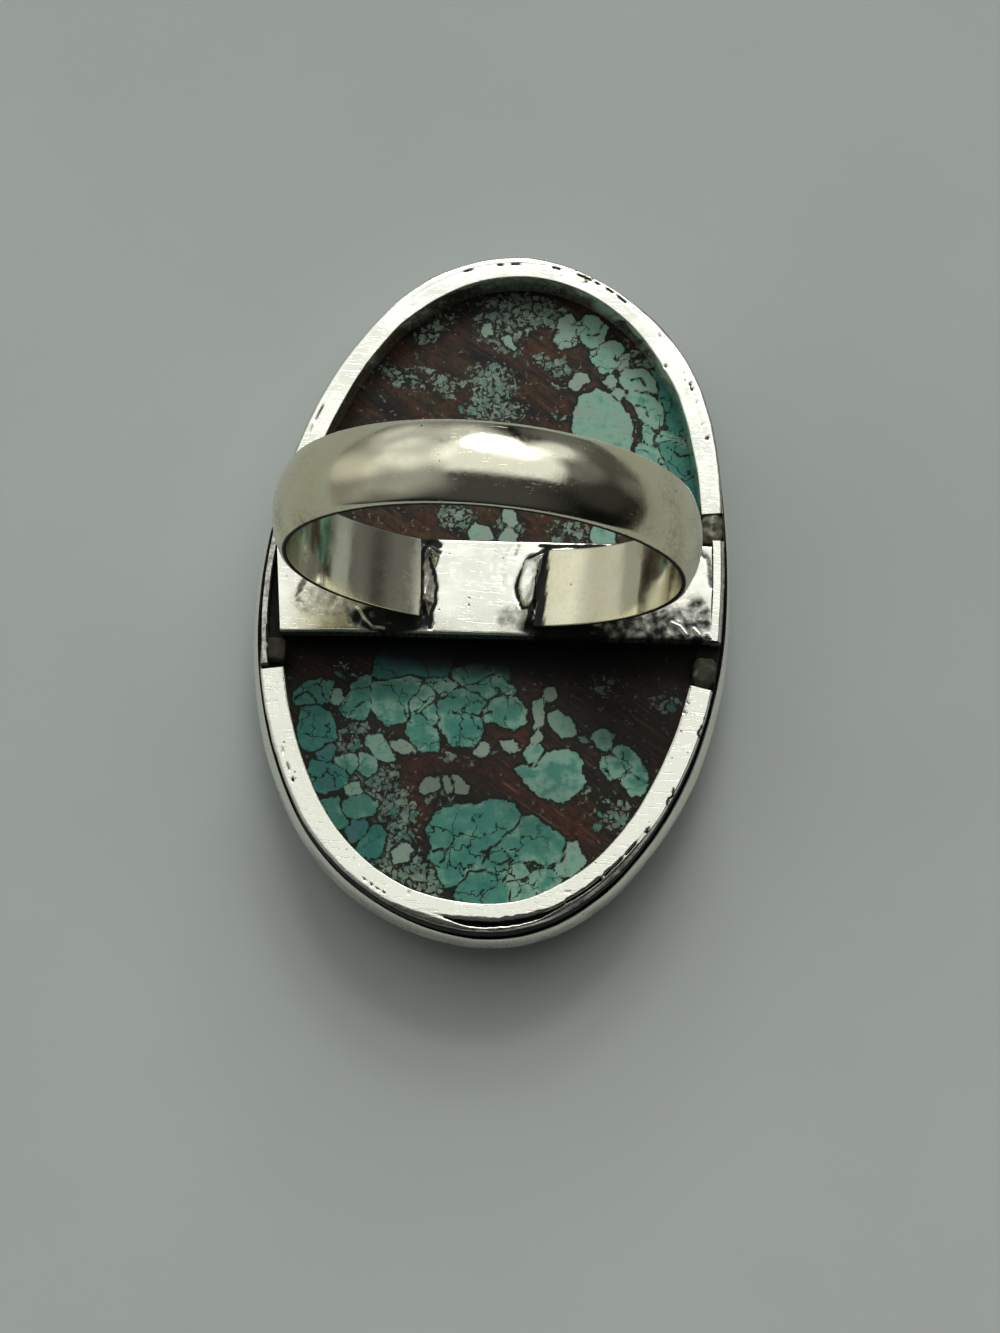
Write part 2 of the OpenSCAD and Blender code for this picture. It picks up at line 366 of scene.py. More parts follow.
def ring_section(inner, outer, seam, top, wire):
    """Section of the ring from the opening over its top and down to the slot: distances out, heights."""
    edge = wire - seam.slope
    flat_start = inner + INNER_EDGE[-1][0]
    flat_end = np.maximum(seam.near - 0.05 - 0.9 * seam.half, inner + 0.2)
    lip = 0.02 * np.clip(seam.depth / 0.03, 0.0, 1.0)
    section = [(inner, STONE_BACK + 0.09), (inner, POCKET_FLOOR)]
    section += [(inner + out, top - down) for out, down in INNER_EDGE]
    section += [(flat_start + share * (flat_end - flat_start), top) for share in FLAT_SHARES]
    section += [
        (flat_end, top),
        (seam.near - 0.02, top - lip - 0.1 * seam.depth),
        (seam.near + 0.01, top - lip - 0.3 * seam.depth),
        (seam.near + 0.5 * seam.half, top - 0.5 * lip - 0.9 * seam.depth),
        (seam.past - 0.5 * seam.half, top - seam.depth),
        (seam.past - 0.01, wire - 0.35 * seam.depth),
        (seam.past + 0.015, wire - lip),
        (seam.past + 0.04, wire - 0.2 * lip),
    ]
    for share in WIRE_SHARES:
        section.append((seam.past + 0.04 + share * (outer - 0.11 - seam.past), wire - seam.slope * share**2))
    section += [(outer + out, edge - down) for out, down in OUTER_EDGE]
    section += [(outer + out, np.minimum(edge - 0.3, z)) for out, z in OUTER_WALL]
    section.append((np.minimum(outer - 0.12, RING_WIDTH - 0.03), RING_FOOT))
    grows = np.stack([out for out, _ in section], 1)
    heights = np.stack([np.broadcast_to(z, top.shape) for _, z in section], 1)
    return grows, heights


def dent_ring(x, y, heights, on_top):
    """Heights of the ring with its pits, nicks and fine dents, and the soot that lies in them."""
    marks = []
    for turn, out, size, deep in RING_PITS:
        marks.append((patch(x, y, place_on_oval(turn, out), (size, size), PIT_EDGE), deep))
    for line, reach, deep in RING_NICKS:
        marks.append((along_line(x, y, [place_on_oval(*place) for place in line], reach), deep))
    soot = np.zeros(x.shape)
    for mark, deep in marks:
        heights = heights - deep * mark * on_top
        soot = np.maximum(soot, min(SOOT_PER_MM * deep, 1.0) * mark * on_top)
    spots = flat_points(x, y)
    dents = 0.006 * np.clip(swell(spots, 0.35, 12) - 0.1, 0, None) + 0.003 * swell(spots, 0.16, 13)
    return heights - dents * on_top, soot


def ring_soot(turns, grows, heights, seam, on_top, rough):
    """Soot in the seam, on the filed slope and by the bar; soot and painted shade in the slot and on the
    inner wall.
    """
    in_seam = (grows > (seam.near - 0.012)[:, None]) & (grows < (seam.past + 0.008)[:, None])
    filed = ramp(0.08, 0.24, seam.slope)[:, None] * ramp(0.0, 0.25, grows - seam.past[:, None])
    in_slot = np.zeros(grows.shape)
    # Black in the slot beside the strip: partly soot, partly painted shade
    in_slot[:, -SLOT_POINTS:] = 1.0
    in_slot[:, -SLOT_POINTS - 1] = 0.4
    by_bar = ((turns > BY_BAR[0]) & (turns < BY_BAR[1]))[:, None] * on_top
    # Darker down the inner wall: painted shade
    inner_wall = (1.0 - ramp(5.0, 6.5, heights)) * (grows < 0.5)
    return np.maximum.reduce([
        in_seam * ramp(0.03, 0.10, seam.depth)[:, None],
        filed * np.clip(0.51 + 0.15 * rough, 0, 1),
        in_slot,
        0.46 * by_bar,
        0.35 * inner_wall,
    ])


def build_back_ring():
    """Flat ring with a wire soldered round it: seam, open gap at the lower end, pits, nicks and pockets."""
    turns = even_turns(RING_TURNS)
    places, _ = oval_at(turns)
    spots = flat_points(*places.T)
    start, stop = row_at(RING_EDGES, turns)
    inner = start + waves("opening", spots)
    outer = stop + waves("outside of the ring", spots)
    seam = seam_round(turns, spots)
    top = RING_TOP + waves("top of the ring", spots)
    streaks = swell(np.column_stack([turns * 3.0, turns * 0, turns * 0]), 1.0, 9)
    wire = top - seam.drop + 0.015 * streaks * ramp(0.02, 0.1, seam.drop)
    grows, heights = ring_section(inner, outer, seam, top, wire)
    points = round_oval(turns, grows, heights)
    x, y = points[:, :, 0], points[:, :, 1]
    on_top = ramp(6.2, 6.45, heights)
    heights, dirt = dent_ring(x, y, heights, on_top)
    pocket = pocket_at(turns, grows)
    sunk = POCKET_FLOOR + 0.004 * (heights - POCKET_FLOOR)
    heights = np.where(pocket > 0.5, np.minimum(heights, sunk), heights)
    rough = swell(flat_points(x, y), 0.25, 14)
    # The pockets beside the bar are painted black: partly soot, partly painted shade in the gaps
    soot = np.maximum.reduce([dirt, pocket, ring_soot(turns, grows, heights, seam, on_top, rough)])
    points[:, :, 2] = heights
    faces = skin_faces(*grows.shape, True, True)
    return piece_from("back_ring", points, faces, SETTING_NODE, SILVER, RING_CREASE, soot=soot)


# Bezel strip

# The strip's section from the slot beside the ring over its rim, down the wall and round the edge pressed
# over the stone: distance out, height, share of the rim's shift
STRIP_SECTION = (
    (1.12, 4.50, 1.0), (1.28, 4.62, 1.0), (1.305, 4.82, 1.0), (1.33, 4.905, 1.0), (1.36, 4.925, 1.0),
    (1.39, 4.89, 0.9), (1.425, 4.80, 0.8), (1.455, 4.67, 0.6), (1.48, 4.50, 0.4), (1.495, 4.28, 0.2),
    (1.500, 3.95, 0.0), (1.500, 3.45, 0.0), (1.495, 3.00, 0.0), (1.480, 2.78, 0.0), (1.440, 2.60, 0.0),
    (1.360, 2.44, 0.0), (1.250, 2.32, 0.0), (1.120, 2.24, 0.0), (1.000, 2.20, 0.0), (0.890, 2.19, 0.0),
    (0.815, 2.21, 0.0), (0.780, 2.25, 0.0), (0.790, 2.31, 0.0), (0.880, 2.40, 0.0), (0.990, 2.56, 0.0),
    (1.075, 2.85, 0.0), (1.090, 3.60, 0.0),
)

# How the strip was bent: normal's direction, shift of its wall, shift of its rim
STRIP_BEND = (
    (0, 0.00, -0.10), (9, 0.00, -0.05), (16, 0.08, 0.08), (30, 0.00, 0.00), (90, 0.00, 0.00),
    (150, 0.08, 0.06), (165, 0.00, -0.05), (180, 0.00, -0.14), (192, 0.02, -0.14), (200, 0.10, -0.12),
    (212, 0.03, -0.14), (225, -0.02, -0.14), (240, 0.00, -0.10), (250, 0.04, -0.02), (260, 0.12, 0.08),
    (270, 0.20, 0.18), (285, 0.20, 0.17), (297, 0.17, 0.07), (310, 0.05, -0.04), (320, 0.09, -0.05),
    (330, 0.16, 0.00), (340, 0.17, -0.06), (350, 0.05, -0.16), (360, 0.00, -0.10),
)


STRIP_TURNS = 620
STRIP_CREASE = 50
# Heights between which the front, the pressed lip, the wall and the rim fade in
FRONT_FADE = (3.4, 2.3)
LIP_FADE = (2.7, 2.35)
WALL_FADE = (2.6, 3.2)
RIM_FADE = (4.4, 4.85)


def build_bezel_strip():
    """Strip of silver that stands round the ring, with a rounded rim and an edge pressed over the stone."""
    turns = even_turns(STRIP_TURNS)
    places, _ = oval_at(turns)
    spots = flat_points(*places.T)
    wall_shift, rim_shift = row_at(STRIP_BEND, turns)
    out, height, rim_share = np.array(STRIP_SECTION).T
    lip = ramp(*LIP_FADE, height)
    wall_share = (1 - rim_share) * (1 - ramp(*FRONT_FADE, height))
    filed = ramp(1.30, 1.45, out) * ramp(*WALL_FADE, height)
    grows = out + wall_shift[:, None] * wall_share + rim_shift[:, None] * rim_share
    grows = grows - filed * (0.012 + waves("wall of the strip", spots))[:, None]
    grows = grows + lip * (0.02 + waves("pressed lip", spots))[:, None]
    heights = height + ramp(*RIM_FADE, height) * waves("rim of the strip", spots)[:, None]
    # Black in the slot beside the ring, partly soot and partly painted shade; darker on the lip where it
    # meets the stone
    in_slot = ramp(4.84, 4.7, heights) * (out < 1.32) * (heights > 4.3)
    under_lip = (1.0 - ramp(0.80, 0.92, grows)) * lip
    soot = np.maximum(in_slot, 0.7 * under_lip)
    faces = skin_faces(*grows.shape, True, True)
    points = round_oval(turns, grows, heights)
    return piece_from("bezel_strip", points, faces, SETTING_NODE, SILVER, STRIP_CREASE, soot=soot)


# Band

BAND_STATIONS = 300
BAND_CREASE = 38
BAND_SWAY = 0.03
# Radius at which the band's unevenness is read
WAVE_R = 9
# The two ends, in degrees from straight down: at the lower edge and at the upper edge
LEFT_END = (20.0, 22.2)
RIGHT_END = (14.9, 17.8)

# Rounded edge of the band: thickness, distance in from the edge
BAND_ROUNDING = ((0.012, 0.025), (0.04, 0.004), (0.10, 0.0), (0.18, 0.015), (0.26, 0.05))


def band_thickness(across):
    """Thickness of the half-round band at a distance across from its middle line."""
    return np.sqrt(CROWN_R**2 - across**2) - CROWN_R + BAND_CROWN


def band_section():
    """The band's section, once round: thickness outside the finger's circle and place across."""
    half = BAND_WIDTH / 2
    inner = [(0.0, v) for v in (-half + 0.06, *np.linspace(-half + 0.10, half - 0.10, 7), half - 0.06)]
    outer = [(float(band_thickness(v)), v) for v in np.linspace(half - 0.12, -half + 0.12, 25)]
    upper = [(thick, half - inward) for thick, inward in BAND_ROUNDING]
    lower = [(thick, -v) for thick, v in reversed(upper)]
    return np.array(inner + upper + outer + lower)


def band_finish(thick, across, degrees, ring):
    """Soot at the band's ends, lower edge and sides, and its yellow tarnish."""
    clouds = swell(ring, 1.3, 34)
    side = np.abs(degrees - 180)
    outside = thick > 0.02
    from_end = np.minimum(degrees - RIGHT_END[1], 360 - LEFT_END[0] - degrees)
    lower_edge = (across < 0.03 - BAND_WIDTH / 2) & (thick > 0.01)
    smoked = ramp(30, 60, side) * (thick > 0.2)
    soot = np.maximum(0.95 * (1 - ramp(0.0, 1.1, from_end)), 0.85 * lower_edge)
    soot = np.maximum(soot, smoked * np.clip(0.22 + 0.20 * clouds, 0, 1))
    yellow = np.where(outside, 0.15 + 0.70 * ramp(12, 50, side), 0.10 + 0.55 * ramp(180, 120, degrees))
    return soot, yellow * (1.0 + 0.3 * clouds)


def build_band():
    """Half-round band, slightly uneven where it was bent and filed, with thin flat edges."""
    section = band_section()
    thick, across = section.T[:, None, :]
    share = across / BAND_WIDTH + 0.5
    first = np.radians(RIGHT_END[0] + (RIGHT_END[1] - RIGHT_END[0]) * share)
    last = np.radians(360 - LEFT_END[0] - (LEFT_END[1] - LEFT_END[0]) * share)
    angle = first + (last - first) * np.linspace(0, 1, BAND_STATIONS)[:, None]
    level = np.broadcast_to(across, angle.shape)
    ring = np.stack([np.sin(angle) * WAVE_R, -np.cos(angle) * WAVE_R, level], -1)
    r = FINGER_R + thick + waves("band", ring) * np.where(thick > 0.02, 1.0, 0.8)
    x = FINGER[0] + r * np.sin(angle)
    y = FINGER[1] + across + BAND_SWAY * np.sin(angle * 2 + 0.7)
    z = FINGER[2] - r * np.cos(angle)
    soot, yellow = band_finish(thick, across, np.degrees(angle), ring)
    return piece_from("band", np.stack([x, y, z], -1), capped_faces(*angle.shape), SETTING_NODE, SILVER,
                      BAND_CREASE, soot=soot, tarnish=yellow)


# Cross bar with its solder

LEFT_JOINT = ((-3.85, -2.26), (-3.51, 1.56))
RIGHT_JOINT = ((2.20, -2.55), (2.69, 1.72))

# Solder at the band's two ends: the joint, the side that it fills, reach along the bar, height
JOINT_SOLDER = ((LEFT_JOINT, 1, 0.50, 0.85), (RIGHT_JOINT, -1, 0.72, 0.72))

# Softened upper edge of the bar: distance in from its side, distance below its top
BAR_ROUNDING = ((0.045, 0.02), (0.01, 0.06), (0.0, 0.14))
BAR_CHAMFER = 0.08
BAR_BEND = 0.10
BAR_STATIONS = 270
BAR_ACROSS = 58
BAR_CREASE = 50

# Dark lines burnt into the bar, partly painted shadow along the band's two ends: bent line, reach, strength,
# depth
BAR_LINES = (
    (((-3.45, 1.95), (-3.64, 1.55), (-3.8, 0.9), (-3.84, 0.2), (-3.8, -0.5), (-3.7, -1.2),
      (-3.45, -2.0), (-3.15, -2.75)), 0.21, 1.0, 0.1),
    (((-3.4, 0.7), (-3.16, 0.15), (-3.0, -0.5), (-2.93, -1.3), (-3.08, -2.1), (-3.12, -2.9)), 0.15, 1.0,
      0.05),
    (((-3.4, 1.85), (-3.05, 1.6)), 0.28, 1.0, 0.05),
    (((-4.0, 1.8), (-3.5, 1.7)), 0.26, 0.95, 0.03),
    (((-3.3, 1.3), (-2.95, 1.2)), 0.2, 0.8, 0.03),
    (((2.62, 1.8), (2.1, 1.55), (1.62, 1.15), (1.45, 0.7), (1.28, 0.2), (1.22, -0.4), (1.35, -0.95),
      (1.6, -1.4), (1.95, -1.52), (2.15, -1.35)), 0.16, 1.0, 0.07),
    (((2.68, 1.85), (2.58, 0.9), (2.44, 0.1), (2.3, -0.7), (2.08, -1.5), (1.95, -2.6)), 0.27, 1.0,
      0.08),
    (((-9.82, -0.7), (-10.0, -1.15), (-10.08, -1.45)), 0.25, 0.62, 0.008),
    (((-10.08, -1.45), (-10.22, -1.8), (-10.14, -2.02), (-9.9, -2.08)), 0.14, 0.52, 0.006),
    (((-7.62, -1.9), (-7.4, -2.4), (-7.25, -3.0)), 0.16, 0.5, 0.03),
    (((-8.1, -1.55), (-8.25, -2.1)), 0.22, 0.4, 0.02),
    (((10.75, 2.35), (11.08, 2.02), (11.28, 1.4), (11.33, 0.6)), 0.22, 0.6, 0.04),
    (((1.15, 1.95), (1.0, 1.35)), 0.14, 0.4, 0.02),
    (((0.85, 2.0), (0.48, 1.2), (0.4, 0.4), (0.55, -0.4)), 0.12, 0.26, 0.02),
    (((0.1, 1.5), (-0.12, 0.9), (-0.05, 0.2)), 0.12, 0.2, 0.015),
    (((2.3, 2.02), (3.3, 2.05), (4.4, 2.16), (5.7, 2.28)), 0.17, 1.0, 0.02),
)

# Sooty or yellowed patches of the bar, the first two painted shadow under the band's ends: centre, size,
# strength
BAR_PATCHES = (
    ((-5.25, -2.62), (2.10, 0.80), 1.00),
    ((4.00, -2.55), (2.40, 0.62), 1.00),
    ((7.60, -2.20), (2.60, 0.95), 0.62),
    ((9.40, -1.85), (1.80, 1.20), 0.60),
    ((10.75, -1.35), (0.85, 1.45), 0.56),
    ((1.15, -2.05), (0.90, 0.75), 0.42),
    ((-8.60, -1.95), (2.10, 1.05), 0.36),
    ((-6.60, -1.40), (0.90, 1.30), 0.30),
    ((0.55, 0.25), (0.20, 0.16), 0.25),
    ((10.90, -2.55), (0.70, 0.35), 0.90),
)

# Bright runs and beads of solder on the bar: bent line, reach, height
BAR_BEADS = (
    (((-3.45, -1.42), (-3.2, -1.5)), 0.24, 0.12),
    (((1.75, 0.95), (1.62, -0.2), (1.8, -1.05)), 0.42, 0.1),
    (((9.45, -1.62), (9.85, -1.75), (10.28, -2.22)), 0.2, 0.12),
    (((10.62, -1.85), (10.95, -2.15)), 0.14, 0.08),
    (((11.28, -2.25), (11.32, -2.35)), 0.22, 0.14),
    (((-6.95, -2.15), (-6.5, -2.75), (-6.1, -3.12), (-5.5, -3.16)), 0.12, 0.09),
)


def joint_x(joint, y):
    """Where the band's end meets the bar, at a distance along."""
    (x0, y0), (x1, y1) = joint
    return x0 + (y - y0) * (x1 - x0) / (y1 - y0)


def under_band(x, y):
    """Height of the band's outside above the bar."""
    r = FINGER_R + band_thickness(np.clip(y - FINGER[1], -2.05, 2.05))
    return FINGER[2] - np.sqrt(np.clip(r**2 - (x - FINGER[0]) ** 2, 1.0, None))


def solder_height(x, y):
    """How far the solder stands above the bar round the two ends of the band."""
    rough = swell(flat_points(x, y), 0.7, 41)
    total = np.zeros(x.shape)
    for joint, side, reach, height in JOINT_SOLDER:
        (_, low), (_, high) = joint
        inward = (x - joint_x(joint, y)) * side
        held = ramp(low - 0.05, low + 0.55, y) * (1 - ramp(high - 0.45, high + 0.10, y))
        front = np.exp(-np.clip(inward / (reach * (1 + 0.25 * rough)), 0, None) ** 2 * 2.2)
        behind = 1 - ramp(0.35, 1.15, -inward)
        total = np.maximum(total, held * height * front * behind)
    room = under_band(x, y) - BAR_TOP + 0.10
    return np.where(np.abs(x) > 2.2, np.minimum(total, np.clip(room, 0.0, None) + 0.25), total)


def bar_section():
    """The bar's section, once round: place across and height."""
    half = BAR_WIDTH / 2
    top = [(v, BAR_TOP) for v in np.linspace(-half + 0.10, half - 0.10, BAR_ACROSS)]
    upper = [(half - inward, BAR_TOP - down) for inward, down in BAR_ROUNDING]
    under = [(half, BAR_BOTTOM + BAR_CHAMFER), (half - BAR_CHAMFER, BAR_BOTTOM)]
    lower = [(-v, z) for v, z in reversed(upper)]
    back = [(-v, z) for v, z in reversed(under)]
    return np.array(lower + top + upper + under + back)


def bar_places(across):
    """Level places of the bar's points: turned, slanted at the left end and slightly bent."""
    start = -BAR_LEFT - across * BAR_SLANT
    end = BAR_RIGHT + 0.03 * np.sin(across * 2.1)
    u = start + (end - start) * np.linspace(0, 1, BAR_STATIONS)[:, None]
    v = across - BAR_BEND * ramp(-6.5, -11.5, u)
    x = u * math.cos(BAR_TURN) - v * math.sin(BAR_TURN)
    y = BAR_Y + u * math.sin(BAR_TURN) + v * math.cos(BAR_TURN)
    return x, y


def scar_bar(x, y, spots):
    """How far the bar's top rises or sinks with its solder, burnt lines, patches and beads, and its soot and
    painted shadow.
    """
    rise = waves("top of the bar", spots) + solder_height(x, y)
    soot = np.zeros(x.shape)
    astray = x + waves("burnt lines across", spots), y + waves("burnt lines along", spots)
    for line, reach, strength, deep in BAR_LINES:
        mark = along_line(*astray, line, reach)
        rise = rise - deep * mark
        soot = np.maximum(soot, strength * mark)
    ragged = swell(spots, 0.35, 45)
    for centre, size, strength in BAR_PATCHES:
        mark = patch(x, y, centre, size, 0.35)
        rise = rise + 0.016 * mark * ragged * strength
        soot = np.maximum(soot, np.clip(strength * mark * (1.0 + 0.45 * ragged), 0, 1))
    for line, reach, height in BAR_BEADS:
        mark = along_line(x, y, line, reach)
        rise = rise + height * mark
        soot = soot * (1 - 0.75 * mark)
    return rise, soot


def build_cross_bar():
    """Bar across the back, slightly bent and scarred, with the solder that holds the band's two ends."""
    half = BAR_WIDTH / 2
    across, height = bar_section().T[:, None, :]
    from_middle = np.abs(across)
    x, y = bar_places(across)
    spots = flat_points(x, y)
    y = y + waves("side of the bar", spots) * ramp(half - 0.3, half, from_middle)
    rise, soot = scar_bar(x, y, spots)
    on_top = height > BAR_TOP - 0.16
    inner_top = on_top * (1 - ramp(half - 0.25, half - 0.02, from_middle))
    sides = height <= BAR_TOP - 0.10
    bead = patch(x, y, (-3.42, -0.25), (0.34, 1.05), 0.4) * ramp(-1.35, -1.05, y)
    # The bar's sides are painted darker: painted shade between the bar and the stone
    soot = np.maximum(np.maximum(soot, 0.66 * sides), 0.42 * bead * inner_top)
    left_part = ramp(-10.6, -9.6, x) * (1 - ramp(-8.0, -6.2, x))
    yellow = 0.65 * left_part * (0.75 + 0.5 * swell(spots, 1.2, 46)) * on_top
    points = np.stack([x, y, height + rise * inner_top], -1)
    return piece_from("cross_bar", points, capped_faces(*x.shape), SETTING_NODE, SILVER, BAR_CREASE,
                      soot=soot, tarnish=yellow)


# Solder in the ring's pockets

# Name, direction and distance out, height, half size across, along and up, how rough, how dark, squareness
POCKET_LUMPS = (
    ("pocket_solder_upper_right", (7.80, 0.46), 6.34, (0.60, 0.88, 0.44), 0.04, 0.66, 2.9),
    ("pocket_solder_lower_right", (353.1, 0.40), 6.24, (0.60, 0.84, 0.46), 0.11, 0.84, 2.6),
    ("pocket_solder_left", (188.0, 0.18), 6.05, (0.52, 0.60, 0.44), 0.015, 0.98, 6.0),
)
LUMP_ROWS = 28
LUMP_COLUMNS = 48
LUMP_CREASE = 60


def build_pocket_lump(name, where, height, size, rough, dark, square):
    """A rounded lump of solder that fills a pocket of the ring."""
    centre = np.array((*place_on_oval(*where), height))
    tilt = np.linspace(-0.5 * math.pi, 0.5 * math.pi, LUMP_ROWS + 2)[1:-1][:, None]
    turn = np.arange(LUMP_COLUMNS)[None, :] * 2 * math.pi / LUMP_COLUMNS

    def full(value):
        """The value, pushed out towards a square corner."""
        return np.sign(value) * np.abs(value) ** (2.0 / square)

    x = full(np.cos(tilt)) * full(np.cos(turn))
    y = full(np.cos(tilt)) * full(np.sin(turn))
    z = np.broadcast_to(full(np.sin(tilt)), x.shape)
    points = np.stack([x, y, z], -1) * np.array(size) + centre
    points = points + (points - centre) * (rough * waves("solder lump", points))[:, :, None]
    soot = dark * (1.0 + 0.35 * swell(points, 0.35, 53))
    return piece_from(name, points, capped_faces(*x.shape), SETTING_NODE, SILVER, LUMP_CREASE, soot=soot)


# Stone

